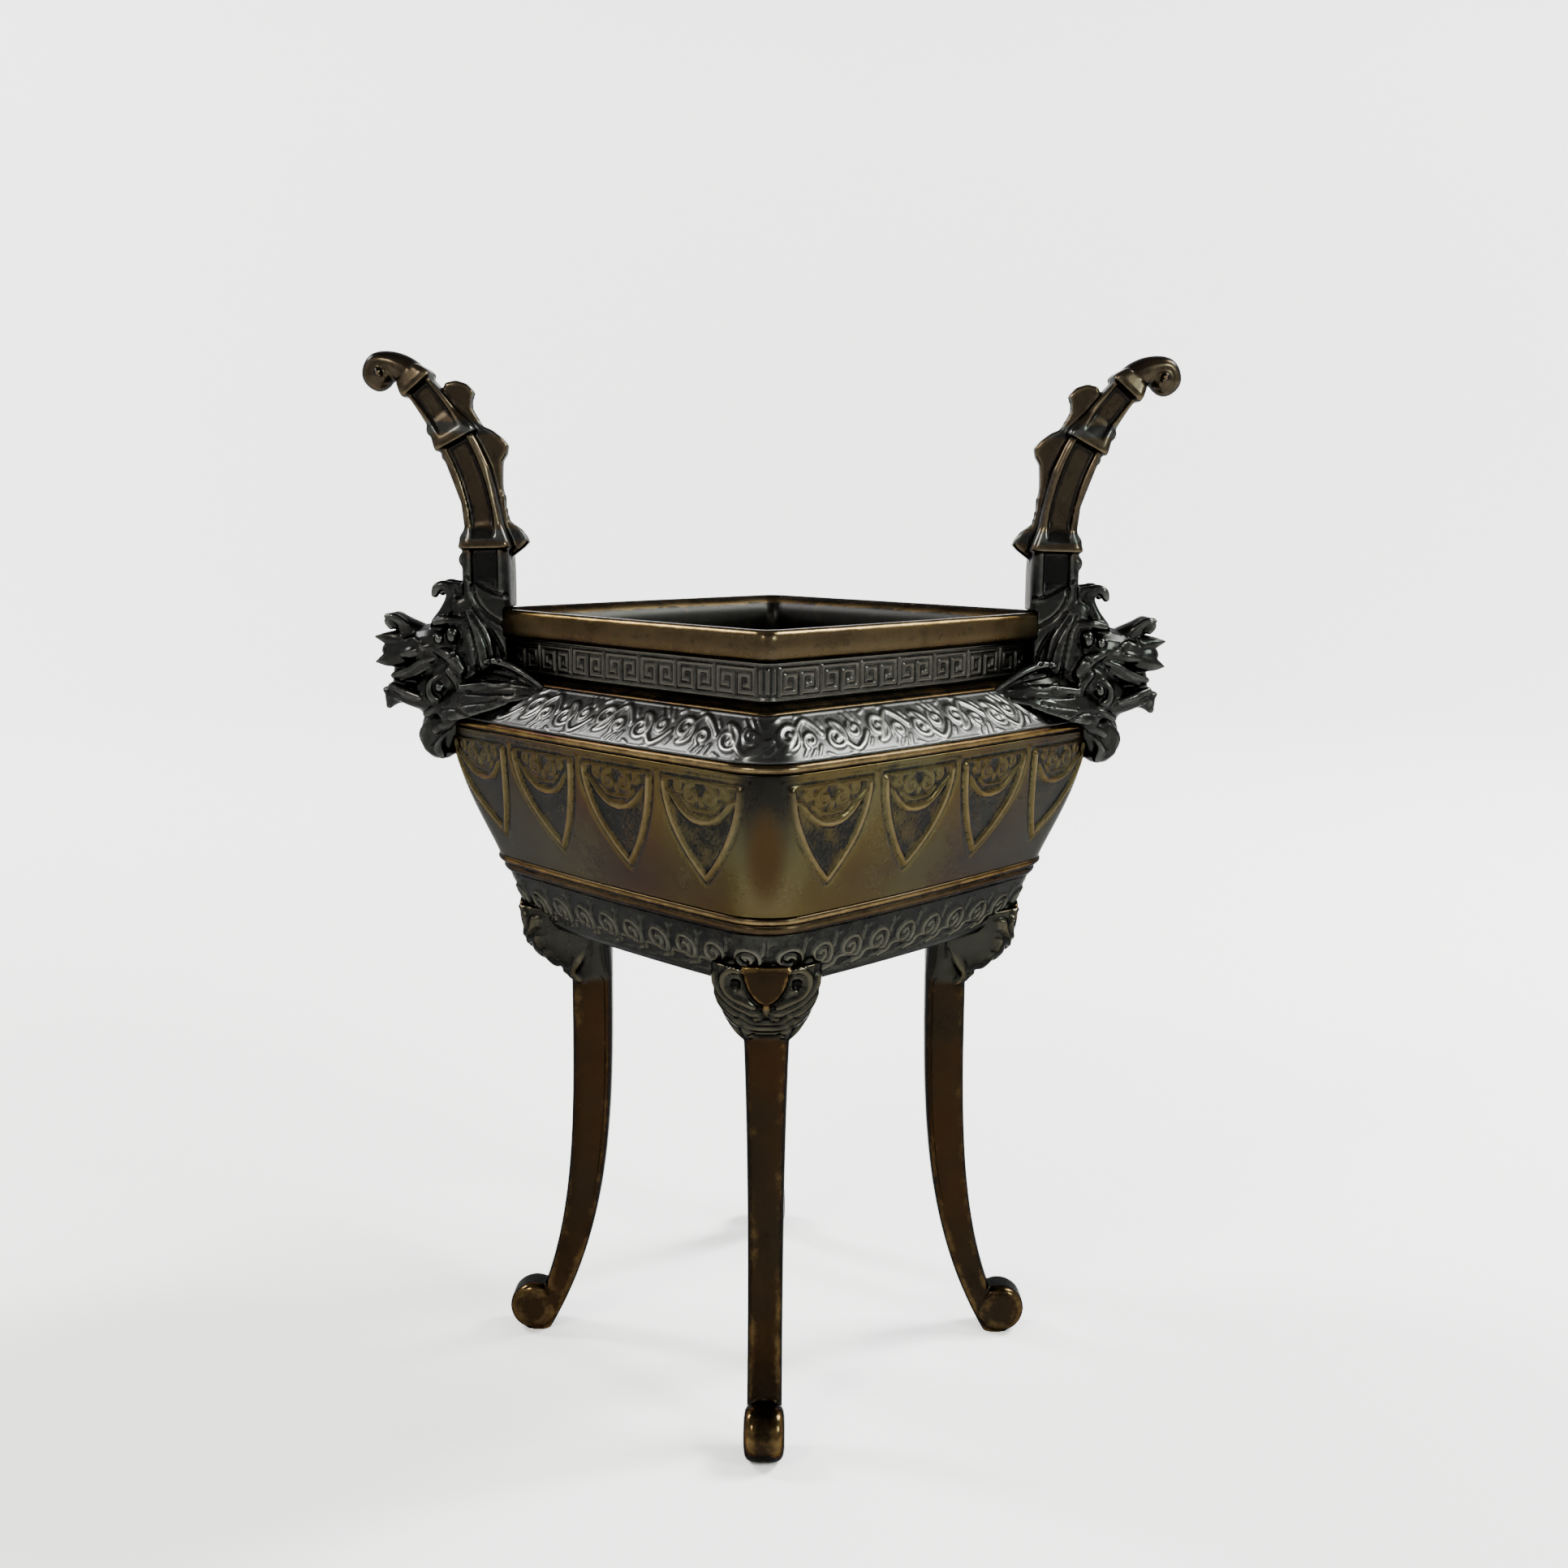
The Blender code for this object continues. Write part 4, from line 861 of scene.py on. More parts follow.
def carve_mask(side, height):
    """Relief of the beast mask in millimetres over the knee's front, by place across and up it."""
    side = np.abs(side)
    brow = 0.7 * np.sqrt(np.clip(forehead(side, height), 0, 1)) * np.clip((height - brow_foot) / 2, 0, 1)
    eye = [(5.6, 121.6), (7.8, 121.9), (9.6, 120.4), (9.9, 118.0), (8.4, 115.6), (5.6, 114.2), (2.9, 112.8)]
    ridges = (
        (0.9, smooth_path(eye), 0.8),
        (1.0, smooth_path([(12.2, 119.8), (10.9, 116.2), (8.2, 113.4), (4.8, 111.6), (2.2, 110.9)]), 1.0),
        (0.8, smooth_path([(11.8, 114.8), (9.6, 112.0), (7.2, 110.2), (5.4, 109.0)]), 1.0),
        (0.7, smooth_path([(10.4, 110.2), (8.2, 108.0), (6.4, 106.4)]), 0.9),
        (0.9, ((0, 113.0), (0, 110.6)), 1.2),
        (1.1, ((1.8, 109.7), (2.2, 109.7)), 1.4),
        (0.8, smooth_path([(0, 107.6), (2.6, 107.6), (4.7, 108.5), (5.6, 110.0)]), 0.9),
        (0.7, smooth_path([(0, 105.0), (2.8, 105.2), (4.8, 106.5)]), 0.8),
        (0.6, ((4.2, 102.6), (4.9, 103.8)), 1.3),
    )
    grooves = (
        (0.6, smooth_path([(6.0, 123.0), (5.4, 118.8), (3.9, 115.6), (1.4, 113.2)]), 0.65),
        (1.3, ((7.2, 118.3), (7.3, 118.2)), 1.5),
        (0.7, smooth_path([(12.2, 117.4), (9.8, 114.2), (6.6, 112.0), (4.6, 110.9)]), 0.5),
        (0.9, smooth_path([(0, 106.4), (3.0, 106.5), (5.4, 107.8), (6.8, 109.6)]), 0.6),
        (0.6, smooth_path([(0, 103.8), (3.2, 104.0), (5.8, 105.2)]), 0.6),
        (0.5, smooth_path([(0, 102.0), (2.4, 102.2), (3.4, 103.0)]), 0.5),
    )
    relief = np.maximum(brow, strokes(side, height, ridges))
    for groove in grooves:
        relief = relief - strokes(side, height, [groove])
    return relief


def shape_leg(place, facing):
    """Carves the mask, keeps the root inside the bowl's floor and the toe's underside flat."""
    ahead = np.clip((facing[:, 0] - 0.15) / 0.3, 0, 1)
    ahead = ahead * (place[:, 2] > knee_foot - 0.0008) * (place[:, 0] > leg_reach - 0.002)
    relief = carve_mask(place[:, 1] * 1000, place[:, 2] * 1000) / 1000
    place = place + facing * (relief * ahead)[:, None]
    within = np.abs(place[:, 0]) + np.abs(place[:, 1]) < base_reach
    place[:, 2] = np.where(within, np.minimum(place[:, 2], underside + floor_thickness / 2), place[:, 2])
    place[:, 2] = np.maximum(place[:, 2], 0.0)
    return place


def leg_tone(place):
    """The toe is rubbed brighter than the rest of the leg and the mask's forehead is darker."""
    brow = forehead(place[:, 1] * 1000, place[:, 2] * 1000)
    toe = np.clip((0.016 - place[:, 2]) / 0.004, 0, 1)
    return 0.08 * toe - 0.16 * np.clip((brow + 0.3) / 0.2, 0, 1)


def knee_zone(place):
    """1 on the grey knee; the forehead stays as brown as the post."""
    side, height = place[:, 1] * 1000, place[:, 2] * 1000
    return np.clip((height - 99.5) / 4, 0, 1) * np.clip(0.5 - forehead(side, height) / 0.3, 0, 1)


rings = []
for i in range(13):
    share = i / 13
    height = knee_top - share * knee_height
    reach, width = knee_size(share)
    rings.append(round_block(height, leg_edges(min(height, underside))[0], reach, width, 2.9))
for i in range(34):
    height = knee_foot * (1 - i / 33)
    inner, outer = leg_edges(height)
    width = leg_width + (leg_top_width - leg_width) * (height / knee_foot) ** 3.2
    rings.append(round_block(height, inner, outer, width, 3.6))
leg_parts = [skin_part(rings)]
# The toe's rings: place across as a share of its half width, and size
toe_rings = [(-1.0, 0.55), (-0.93, 0.80), (-0.8, 0.93), (-0.55, 1.0)]
toe_rings += [(-share, size) for share, size in reversed(toe_rings)]
angle = np.linspace(0, 2 * pi, 32, endpoint=False)
toe = []
for share, size in toe_rings:
    x = toe_reach + toe_radius * size * np.cos(angle)
    z = toe_radius - 0.0002 + toe_radius * size * np.sin(angle)
    toe.append(np.stack([x, np.full_like(angle, share * toe_width / 2), z], -1))
leg_parts.append(skin_part(toe))
# A cheek's ridge: out from the leg's reach, across and up, in millimetres
cheek = ((-2.5, 5.6, 101.4), (-1.2, 7.6, 104.4), (-3.2, 10.2, 109.0), (-6.0, 10.6, 114.5))
for flip in (-1, 1):
    path = [(leg_reach * 1000 + out, across * flip, height) for out, across, height in cheek]
    leg_parts.append(bar(path, (0.9, 1.1, 1.2, 0.8), (0, 1, 0), 0.9))
leg_mesh = cast("leg", leg_parts, leg_voxel, shape_leg, wear=0.00018, tone=leg_tone, zone=knee_zone)
leg_bronze = bronze(
    "leg_bronze",
    ((0.0015, 0.001, 0.0006), (0.0092, 0.0040, 0.0009), (0.0056, 0.0034, 0.0014), (0.050, 0.031, 0.011)),
    gold_from=0.64, roughness=0.12, sheen=0.04, blotch=0.4,
    other_colours=(
        (0.002, 0.002, 0.0015), (0.0125, 0.0122, 0.0098), (0.0095, 0.0093, 0.0075), (0.027, 0.024, 0.016),
    ),
)
for name, quarter in (("leg_right", 0), ("leg_back", 1), ("leg_left", 2), ("leg_front", 3)):
    turned = leg_mesh.copy()
    turned.transform(Matrix.Rotation(quarter * pi / 2, 4, "Z"))
    show(name + "_casting", turned, leg_bronze, name)

# The handles: two bronze castings brazed over the rim's side corners. A beast head grips the
# shoulder, and a three-tiered shaft rises from it and leans out to a scroll, with a thin hooked web
# on its inner side.
handle_reach = 0.0729
handle_rise = 0.0425
handle_straight = 0.0140
handle_lean = 0.0170
lean_power = 2.2
foot_depth = 0.0124
foot_width = 0.0150
tip_width = 0.0100
waist = 0.0022
ledges = (0.05, 0.68, 1.0)
ledge_proud = 0.0011
panel_depth = 0.0015
handle_voxel = 0.00038


def shaft_place(share):
    """Middle of the shaft and the direction out of its outer side, share 0 at the first straight."""
    share = np.asarray(share, float)
    up = np.maximum(share, 0.0)
    x = handle_reach + handle_lean * up ** lean_power
    z = rim_top + handle_straight + share * handle_rise
    slope = lean_power * handle_lean * up ** (lean_power - 1) / handle_rise
    length = np.sqrt(1 + slope ** 2)
    return x, z, 1 / length, -slope / length


def shaft_size(share):
    """Depth and width of the shaft."""
    rise = min(max(share, 0.0), 1.0)
    depth = foot_depth * (1 - 0.42 * rise ** 1.6) - waist * sin(pi * min(rise / 0.5, 1.0))
    return depth, foot_width + (tip_width - foot_width) * rise


def shaft_ring(share, depth, width):
    """A ring with nearly square corners, at right angles to the shaft."""
    x, z, out_x, out_z = shaft_place(share)
    angle = np.linspace(0, 2 * pi, 36, endpoint=False)
    c, s = np.cos(angle), np.sin(angle)
    a = depth / 2 * np.sign(c) * np.abs(c) ** (1 / 3)
    b = width / 2 * np.sign(s) * np.abs(s) ** (1 / 3)
    return np.stack([x + a * out_x, b, z + a * out_z], -1)


def board(outline, half_width):
    """A plate in the plane y = 0 from an outline in millimetres, with its edges eased."""
    outline = np.asarray(outline, float)
    centre = outline.mean(0)
    rings = []
    for across, size in ((-1.0, 0.96), (-0.75, 1.0), (0.75, 1.0), (1.0, 0.96)):
        flat = centre + (outline - centre) * size
        rings.append(np.stack([flat[:, 0], np.full(len(flat), across * half_width), flat[:, 1]], -1) / 1000)
    return skin_part(rings)


def bowl_side(place):
    """How far out the bowl's side corner stands at each point's sideways offset and height."""
    levels = [(underside, base_reach, *belly_plan)] + [belly_band(t) for t in (0.0, 0.3, 0.6, 1.0)]
    levels += [shoulder_band(t) for t in (0.0, 0.5, 1.0)] + [(neck_foot, ridge_reach, *neck_plan)]
    levels += [neck_band(t) for t in (0.05, 1.0)]
    levels += [(height, rim_reach, *neck_plan) for height in (neck_top + 0.0004, rim_top)]
    heights = [level[0] for level in levels]
    spans = []
    for _, reach, corner, bow in levels:
        x, y = plan(np.linspace(-0.45, 0.45, 361), reach, corner, bow)
        spans.append(np.interp(np.abs(place[:, 1]), np.abs(y[180:]), x[180:]))
    spans = np.array(spans)
    row = np.clip(np.searchsorted(heights, place[:, 2]) - 1, 0, len(heights) - 2)
    low, high = np.array(heights)[row], np.array(heights)[row + 1]
    share = np.clip((place[:, 2] - low) / (high - low), 0, 1)
    pick = np.arange(len(place))
    return spans[row, pick] * (1 - share) + spans[row + 1, pick] * share


def panel_mask(along, across, low, high, half):
    """1 inside a panel of the shaft's side, 0 outside, with a long ramp at its foot."""
    gap = np.minimum((high - along) * handle_rise * 1000, half - np.abs(across))
    return np.clip(gap / 0.5 + 0.5, 0, 1) * np.clip((along - low) / 0.11, 0, 1)


# Ridges and grooves on both sides of the head and shaft: height or depth, path and half width
head_lines = (
    (0.8, smooth_path([(90.2, 191.8), (92.2, 192.6), (94.2, 191.8)]), 0.5),
    (0.7, smooth_path([(97.6, 176.6), (95.0, 175.2), (92.0, 174.2)]), 0.5),
    (0.7, smooth_path([(64.0, 183.0), (68.5, 181.6), (73.0, 182.6)]), 0.5),
    (0.7, smooth_path([(66.0, 177.0), (70.0, 175.6), (75.5, 174.2)]), 0.5),
)
head_grooves = (
    (1.0, smooth_path([(84.6, 182.6), (86.2, 181.0), (86.0, 178.6)]), 0.5),
    (1.0, smooth_path([(82.4, 169.6), (85.4, 167.8), (88.0, 164.8)]), 0.45),
    (1.0, smooth_path([(81.6, 187.8), (79.6, 190.0), (79.2, 193.0)]), 0.4),
    (1.0, smooth_path([(76.4, 185.4), (70.6, 184.8), (64.0, 183.6)]), 0.45),
    (1.0, smooth_path([(77.0, 179.4), (71.4, 179.6), (64.4, 180.0)]), 0.45),
    (1.0, smooth_path([(78.0, 176.4), (73.4, 177.2), (68.6, 178.2)]), 0.4),
    (1.0, smooth_path([(84.4, 174.6), (80.4, 175.2), (76.6, 173.6)]), 0.45),
)
shaft_folds = (
    (1.0, smooth_path([(63.5, 203.0), (67.0, 203.3), (71.0, 204.6), (75.2, 206.8), (77.6, 208.4)]), 0.45),
    (1.0, smooth_path([
        (63.5, 195.2), (66.4, 195.6), (69.4, 196.8), (73.2, 199.4), (75.6, 203.0), (76.4, 206.0)]), 0.55),
    (1.0, smooth_path([(68.6, 187.6), (69.3, 190.7), (71.9, 195.0), (75.8, 200.4)]), 0.5),
    (1.0, smooth_path([(71.2, 184.6), (71.5, 188.0), (73.2, 193.4), (76.6, 199.2)]), 0.5),
    (1.0, smooth_path([(74.6, 184.4), (75.0, 188.4), (76.4, 194.0), (78.6, 199.6)]), 0.5),
)


def shape_handle(place, facing):
    """Sinks the panels, cuts the carved lines and seats the root on the bowl."""
    x, z = place[:, 0] * 1000, place[:, 2] * 1000
    share = (place[:, 2] - rim_top - handle_straight) / handle_rise
    for _ in range(4):
        mid_x, mid_z, out_x, out_z = shaft_place(share)
        slip = -(place[:, 0] - mid_x) * out_z + (place[:, 2] - mid_z) * out_x
        share = share + slip / handle_rise * 0.9
    mid_x, mid_z, out_x, out_z = shaft_place(share)
    across = ((place[:, 0] - mid_x) * out_x + (place[:, 2] - mid_z) * out_z) * 1000
    sideways = np.clip((np.abs(facing[:, 1]) - 0.35) / 0.4, 0, 1)
    wide = np.abs(place[:, 1]) * 1000 > 3.2
    sunk = np.zeros(len(place))
    for low, high, half in ((-0.26, 0.030, 3.3), (0.09, 0.655, 2.9), (0.715, 0.975, 2.6)):
        sunk = np.maximum(sunk, panel_mask(share, across, low, high, half))
    place[:, 1] -= np.sign(place[:, 1]) * sunk * panel_depth * wide * sideways
    carved = strokes(x, z, head_lines) * 0.00055 - strokes(x, z, head_grooves) * 0.0005
    on_head = (z < 206) & ((x > 78.5) | (z < 186))
    place = place + facing * (carved * sideways * on_head)[:, None]
    folds = strokes(x, z, shaft_folds)
    on_shaft = (z > 183) & (x < 79.5)
    place = place - facing * (folds * 0.0007 * sideways * on_shaft)[:, None]
    seat = bowl_side(place) + 0.0002
    below = place[:, 2] < rim_top + 0.0002
    place[:, 0] = np.where(below, np.maximum(place[:, 0], seat), place[:, 0])
    return place


stations = [(-0.78, 0.0), (-0.5, 0.0), (-0.1, 0.0)]
for i, ledge in enumerate(ledges):
    taper = 0.12 if i < 2 else 0.06
    stations += [(ledge - 0.022, 0.0), (ledge - 0.012, ledge_proud)]
    stations += [(ledge + 0.012, ledge_proud), (ledge + taper, 0.0)]
    if i < 2:
        gap = ledges[i + 1] - ledge - taper
        stations += [(ledge + taper + gap * t, 0.0) for t in (0.3, 0.6, 0.85)]
rings = []
for share, proud in stations:
    depth, width = shaft_size(share)
    rings.append(shaft_ring(share, depth + 2 * proud, width + 2 * proud))
handle_parts = [skin_part(rings)]
tip_x, tip_z, _, _ = shaft_place(1.02)
scroll = [
    (tip_x * 1000 - 1.2, 0, tip_z * 1000 - 0.8), (tip_x * 1000 + 2.2, 0, tip_z * 1000 + 2.4),
    (96.6, 0, 261.4), (100.2, 0, 261.5), (101.6, 0, 258.6), (99.8, 0, 256.6), (97.6, 0, 257.6),
    (97.9, 0, 259.4), (99.4, 0, 259.6),
]
handle_parts.append(bar(scroll, (3.9, 3.7, 3.3, 2.7, 2.4, 2.1, 1.7, 1.4, 1.2), (0, 1, 0), 1.35, 18, 8))
scroll_centre = (98.9, 0, 259.0)
handle_parts.append(ball(scroll_centre, (3.6, 4.4, 3.6)))
handle_parts.append(ball(scroll_centre, (1.5, 6.0, 1.5)))
# The hooked web's outline: share up the shaft, and depth inwards as a share of the foot's depth
web = (
    (0.906, 0.29), (0.925, 0.46), (0.905, 0.66), (0.868, 0.79), (0.823, 0.82), (0.800, 0.66), (0.765, 0.57),
    (0.713, 0.56), (0.672, 0.60), (0.640, 0.72), (0.590, 0.83), (0.545, 0.89), (0.510, 0.80), (0.482, 0.65),
    (0.38, 0.50), (0.26, 0.44), (0.178, 0.46), (0.135, 0.66), (0.095, 0.80), (0.062, 0.86), (0.035, 0.76),
    (-0.009, 0.55), (-0.06, 0.2), (0.25, 0.0), (0.5, 0.0), (0.7, 0.0), (0.88, 0.0),
)
edge = []
for share, depth in web:
    x, z, out_x, out_z = shaft_place(share)
    edge.append(((x - depth * foot_depth * out_x) * 1000, (z - depth * foot_depth * out_z) * 1000))
handle_parts.append(board(edge, 2.1))
# Rolls across the shaft's outer side: share up it, radius, how proud as a share of that, and half width
for share, size, proud, wide in (
    (0.085, 3.0, 0.45, 5.2), (-0.035, 2.6, 0.42, 4.9), (0.775, 2.3, 0.55, 3.4), (0.62, 1.6, 0.4, 3.4),
):
    x, z, out_x, out_z = shaft_place(share)
    reach = shaft_size(share)[0] * 500 + size * (proud - 1)
    roll = [(x * 1000 + reach * out_x, across, z * 1000 + reach * out_z) for across in (-wide, 0, wide)]
    handle_parts.append(bar(roll, (size * 0.9, size, size * 0.9), (1, 0, 0)))

# Masses down the middle of the beast's head: path, radii, and height as a share of them
for path, radii, flat in (
    (((77, 0, 190), (82, 0, 190.6), (87, 0, 190.6), (92, 0, 190.2), (96.8, 0, 189.4)),
     (9.4, 10.0, 9.2, 7.0, 4.8), 0.64),
    (((77, 0, 184), (82, 0, 182), (85, 0, 179)), (10.6, 10.4, 9.0), 0.90),
    (((90, 0, 187), (95.4, 0, 184.0), (96.2, 0, 178.4)), (3.0, 4.0, 3.6), 0.7),
    (((90.5, 0, 193.0), (94.4, 0, 195.0), (97.2, 0, 197.0), (98.8, 0, 197.4)), (4.8, 4.4, 3.4, 2.0), 0.60),
    (((82, 0, 181.4), (90, 0, 181.2), (95.6, 0, 181.2)), (8.4, 5.4, 3.0), 0.55),
    (((80, 0, 175.6), (88, 0, 175.8), (94, 0, 176.6), (98.4, 0, 177.8)), (9.4, 7.8, 5.6, 3.4), 0.42),
):
    handle_parts.append(bar(path, radii, (0, 0, 1), flat))
for path, radii, flat in (
    (((97.0, 0, 179.0), (98.8, 0, 176.6), (100.0, 0, 174.4)), (2.6, 2.5, 1.0), 1.4),
    (((80.5, 0, 173.5), (84.8, 0, 169.5), (86.4, 0, 165.8)), (6.8, 6.6, 5.6), 1.1),
):
    handle_parts.append(bar(path, radii, (0, 1, 0), flat))
handle_parts.append(ball((96.6, 0, 188.4), (3.6, 4.4, 4.0)))
# Paired details, written for the +Y side: path, radii, and thickness along Y as a share
paired = (
    (((96.4, 2.9, 191.8), (99.8, 2.7, 192.2), (102.6, 2.4, 192.6)), (2.3, 1.5, 0.4), 0.70),
    (((95.6, 3.3, 187.8), (99.4, 2.9, 186.7), (102.5, 2.5, 186.0)), (3.0, 2.0, 0.4), 0.70),
    (((94.0, 3.4, 195.4), (97.4, 3.2, 197.6), (98.8, 3.0, 196.6), (98.2, 2.9, 195.2)),
     (1.2, 1.3, 1.2, 0.9), 1.0),
    (((95.2, 3.8, 193.0), (96.0, 3.9, 191.8), (98.0, 3.6, 192.0)), (0.8, 0.9, 0.7), 1.0),
    (((86.2, 7.9, 187.6), (89.6, 7.0, 186.4), (93.0, 5.9, 184.0), (97.6, 3.9, 182.6)),
     (0.9, 1.2, 1.3, 1.0), 1.0),
    (((87.8, 7.4, 185.4), (91.6, 6.2, 183.4), (95.6, 4.4, 181.6)), (0.7, 0.9, 0.7), 1.0),
    (((89.6, 7.2, 189.2), (92.0, 6.4, 188.8), (95.0, 5.2, 188.2)), (1.1, 1.6, 1.0), 1.0),
    (((86.6, 8.3, 190.6), (88.8, 7.8, 190.2), (90.6, 6.6, 191.4)), (0.9, 1.2, 0.8), 1.0),
    (((90.4, 7.2, 177.2), (94.6, 5.4, 178.4), (98.6, 3.0, 179.8)), (0.9, 1.3, 1.0), 1.0),
    (((79.0, 7.9, 197.0), (82.4, 8.0, 197.2), (86.0, 6.8, 196.4)), (1.0, 1.3, 0.9), 1.0),
    (((85.4, 8.6, 189.8), (81.6, 9.9, 188.2), (78.8, 10.5, 184.8)), (1.2, 1.9, 1.5), 1.0),
    (((82.0, 10.2, 184.6), (79.4, 11.0, 181.6), (78.8, 11.2, 178.2)), (1.2, 1.5, 1.2), 1.0),
    (((78.8, 6.6, 200.4), (76.6, 7.8, 195.0), (74.8, 8.6, 189.4), (74.2, 8.8, 184.0)),
     (3.0, 4.2, 4.4, 3.6), 0.36),
    (((77.8, 11.0, 174.4), (82.0, 10.2, 171.6), (86.4, 8.0, 168.8)), (1.2, 1.6, 1.1), 1.0),
    (((81.6, 10.0, 176.4), (85.4, 9.2, 174.8), (88.8, 7.6, 173.0)), (1.0, 1.3, 1.0), 1.0),
    (((88.0, 5.0, 171.0), (90.2, 4.0, 167.4), (89.2, 3.6, 163.6)), (1.2, 1.5, 1.2), 1.0),
    (((84.0, 5.8, 169.0), (86.2, 5.4, 165.4), (85.4, 5.0, 162.0)), (1.2, 1.5, 1.2), 1.0),
    (((85.0, 4.6, 196.0), (83.2, 5.0, 199.6), (82.0, 5.0, 203.4), (83.2, 4.9, 205.8), (85.4, 4.8, 205.4),
      (86.2, 4.7, 203.8)),
     (2.6, 1.8, 1.4, 1.4, 1.4, 1.1), 1.0),
    (((79.4, 4.4, 197.0), (79.0, 4.9, 201.6), (79.8, 5.0, 205.4), (82.0, 5.0, 206.2)),
     (1.6, 1.1, 1.0, 0.8), 1.0),
)
# Knobs on the brow and jaw: middle and radii
knobs = (
    ((80.9, 9.4, 193.6), (1.8, 2.6, 2.4)),
    ((84.4, 8.9, 192.6), (1.5, 2.2, 1.6)),
    ((84.6, 9.0, 180.2), (1.5, 2.0, 1.5)),
)
# An ear swept back over the shoulder and its three veins, flattened along the way it faces
ears = (
    (((79.6, 9.2, 178.6), (75.0, 12.2, 179.4), (69.6, 14.8, 181.2), (63.6, 17.0, 181.8), (59.0, 18.0, 181.0),
      (55.6, 18.6, 180.4)),
     (8.2, 7.6, 6.0, 4.2, 2.4, 0.6), 0.28),
    (((72.6, 11.6, 187.0), (68.4, 14.0, 187.2), (64.0, 16.4, 185.8), (59.4, 18.2, 183.2), (56.0, 19.0, 180.8)),
     (0.8, 1.1, 1.0, 0.8, 0.6), 1.0),
    (((78.4, 12.6, 180.4), (73.0, 15.2, 181.2), (67.0, 17.2, 181.6), (60.6, 18.8, 181.2)),
     (1.0, 1.1, 0.9, 0.5), 1.0),
    (((79.6, 13.2, 173.8), (75.2, 15.6, 174.8), (70.4, 17.4, 176.4), (65.6, 18.8, 178.0), (60.2, 19.4, 178.8)),
     (0.9, 1.2, 1.2, 1.0, 0.6), 1.0),
)
for flip in (-1, 1):
    for path, radii, flat in paired:
        handle_parts.append(bar([(x, y * flip, z) for x, y, z in path], radii, (0, 1, 0), flat))
    for (x, y, z), radii in knobs:
        handle_parts.append(ball((x, y * flip, z), radii))
    ring = spiral(84.2, 179.6, 2.5, 3.4, 215, -270, 16)
    ring_radii = np.linspace(0.9, 1.4, 16)
    handle_parts.append(bar([(x, 8.4 * flip, z) for x, z in ring], ring_radii, (0, 1, 0), 1.2, 10, 3))
    outward = (0.6, 0.6 * flip, 0.55)
    for path, radii, flat in ears:
        handle_parts.append(bar([(x, y * flip, z) for x, y, z in path], radii, outward, flat))


def ledge_slope(share):
    """1 on the slopes that stand on the two lower ledges."""
    lower, upper = (np.clip(1.5 - np.abs(share - middle) / 0.035, 0, 1) for middle in (0.115, 0.745))
    return np.maximum(lower, upper)


def handle_tone(place):
    """The web and scroll are rubbed brighter; the ledge slopes get a painted sheen, and the lowest panel and
    the hollow behind the horn root get painted shade.
    """
    share = (place[:, 2] - rim_top - handle_straight) / handle_rise
    mid_x, _, _, _ = shaft_place(share)
    inner = np.clip((mid_x - 0.0045 - place[:, 0]) / 0.001, 0, 1) * (share > -0.05)
    top = np.clip((share - 1.02) / 0.03, 0, 1)
    # Painted shade in the lowest panel, under the first ledge
    panel = (share > -0.20) * (share < 0.03) * (np.abs(place[:, 0] - mid_x) < 0.0034)
    # Painted shade in the hollow behind the horn root
    shade_behind_horn = np.exp(-((place[:, 0] - 0.0806) / 0.0018) ** 2 - ((place[:, 2] - 0.2000) / 0.004) ** 2)
    # Painted sheen on the slopes over the two lower ledges
    slope = ledge_slope(share) * (1 - inner)
    return 0.08 * inner + 0.06 * top - 0.42 * panel - 0.4 * shade_behind_horn + 0.26 * slope


def grey_and_sheen_zone(place):
    """1 on the grey head and the foot of the shaft, and on the slopes over the ledges, where the grey set's
    crests make a painted sheen.
    """
    share = (place[:, 2] - rim_top - handle_straight) / handle_rise
    return np.maximum(np.clip((0.219 - place[:, 2]) / 0.010, 0, 1), ledge_slope(share))


handle_mesh = cast(
    "handle", handle_parts, handle_voxel, shape_handle, wear=0.00020, tone=handle_tone, zone=grey_and_sheen_zone)
handle_bronze = bronze(
    "handle_bronze",
    ((0.003, 0.002, 0.0015), (0.0145, 0.0090, 0.0038), (0.018, 0.0125, 0.0065), (0.046, 0.034, 0.019)),
    gold_from=0.66, roughness=0.13, sheen=0.12, blotch=0.4,
    # The head's grey, which on the ledge slopes also gives a painted sheen
    other_colours=(
        (0.0010, 0.0010, 0.0009), (0.0056, 0.0056, 0.0049), (0.0074, 0.0074, 0.0066), (0.032, 0.032, 0.0295),
    ),
)
for name, turn in (("handle_right", 0.0), ("handle_left", pi)):
    turned = handle_mesh.copy()
    turned.transform(Matrix.Rotation(turn, 4, "Z"))
    show(name + "_casting", turned, handle_bronze, name)

# The stage: a pale floor that curves up into a wall all round, three soft lamps over the object and
# two on the wall behind it, and the camera at the height and distance of the photograph.
floor_flat = 1.5
floor_bend = 0.9
wall_height = 2.6
floor_columns = 96
camera_place = (0.0038, -0.4200, 0.2262)
camera_dip = 9.76
camera_roll = 0.37
outline = [(0.02, 0.0), (0.5, 0.0), (floor_flat, 0.0)]
for i in range(1, 17):
    angle = pi / 2 * i / 16
    outline.append((floor_flat + floor_bend * sin(angle), floor_bend * (1 - cos(angle))))
outline.append((floor_flat + floor_bend, wall_height))
floor_points = []
for reach, height in outline:
    for i in range(floor_columns):
        angle = 2 * pi * i / floor_columns
        floor_points.append((reach * cos(angle), reach * sin(angle), height))
floor_faces = grid_faces(len(outline), floor_columns, True).tolist()
floor_faces = [list(range(floor_columns))] + [face[::-1] for face in floor_faces]
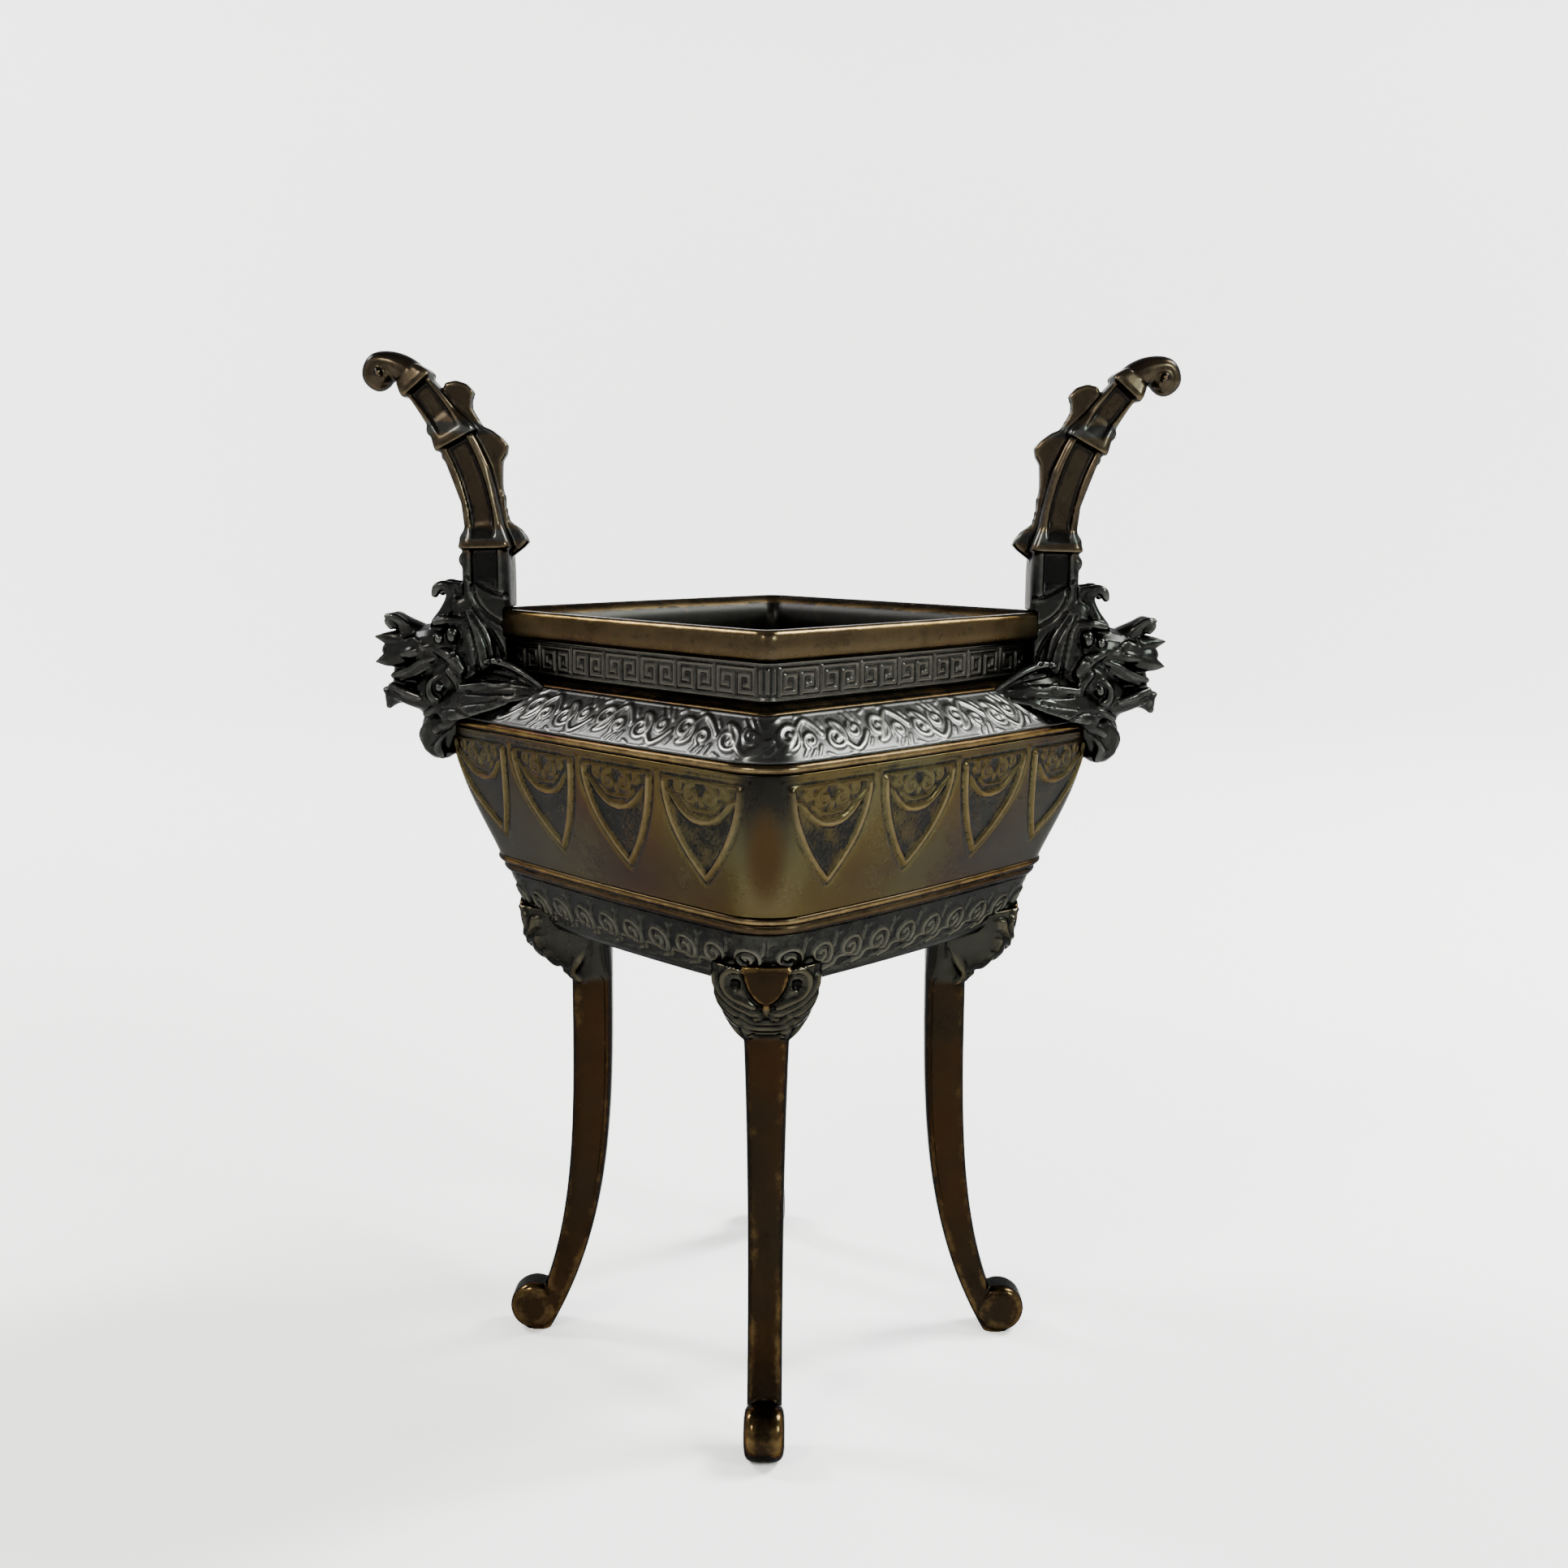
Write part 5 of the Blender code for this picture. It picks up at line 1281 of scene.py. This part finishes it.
floor = bpy.data.objects.new("floor", mesh_of("floor", floor_points, floor_faces))
scene.collection.objects.link(floor)
floor_paint = bpy.data.materials.new("floor_paint")
floor_paint.use_nodes = True
floor_shader = floor_paint.node_tree.nodes["Principled BSDF"]
floor_shader.inputs["Base Color"].default_value = (0.94, 0.94, 0.935, 1.0)
floor_shader.inputs["Roughness"].default_value = 0.75
floor.data.materials.append(floor_paint)

world = bpy.data.worlds.new("studio")
scene.world = world
world.use_nodes = True
world.node_tree.nodes["Background"].inputs["Color"].default_value = (1.0, 1.0, 1.0, 1.0)
world.node_tree.nodes["Background"].inputs["Strength"].default_value = 0.45
# Name, place, size, power and tint
lamps = (
    ("key_lamp", (-0.60, -0.75, 0.95), 0.26, 9.0, (1.0, 0.94, 0.84)),
    ("fill_lamp", (0.95, -0.70, 0.75), 0.28, 14.0, (0.86, 1.0, 0.90)),
    ("top_lamp", (0.75, 0.15, 1.00), 0.34, 18.0, (0.95, 1.0, 0.94)),
    ("backdrop_left", (-1.3, 0.55, 1.3), 0.48, 58.0, (1.0, 1.0, 1.0)),
    ("backdrop_right", (1.3, 0.55, 1.3), 0.48, 58.0, (1.0, 1.0, 1.0)),
)
for name, place, size, power, tint in lamps:
    lamp = bpy.data.lights.new(name, "AREA")
    lamp.shape = "DISK"
    lamp.size, lamp.energy, lamp.color = size, power, tint
    holder = bpy.data.objects.new(name, lamp)
    holder.location = place
    aim = Vector((0.2 * place[0], 1.5, 0.3) if name.startswith("backdrop") else (0, 0, 0.14))
    holder.rotation_euler = (Vector(place) - aim).to_track_quat("Z", "Y").to_euler()
    scene.collection.objects.link(holder)

camera = bpy.data.cameras.new("camera")
camera.sensor_width = 36.0
camera.lens = 36.9
camera.clip_start = 0.01
view = bpy.data.objects.new("camera", camera)
tilt = Matrix.Rotation(radians(90 - camera_dip), 4, "X")
roll = Matrix.Rotation(radians(camera_roll), 4, "Z")
view.matrix_world = Matrix.Translation(camera_place) @ tilt @ roll
scene.collection.objects.link(view)
scene.camera = view
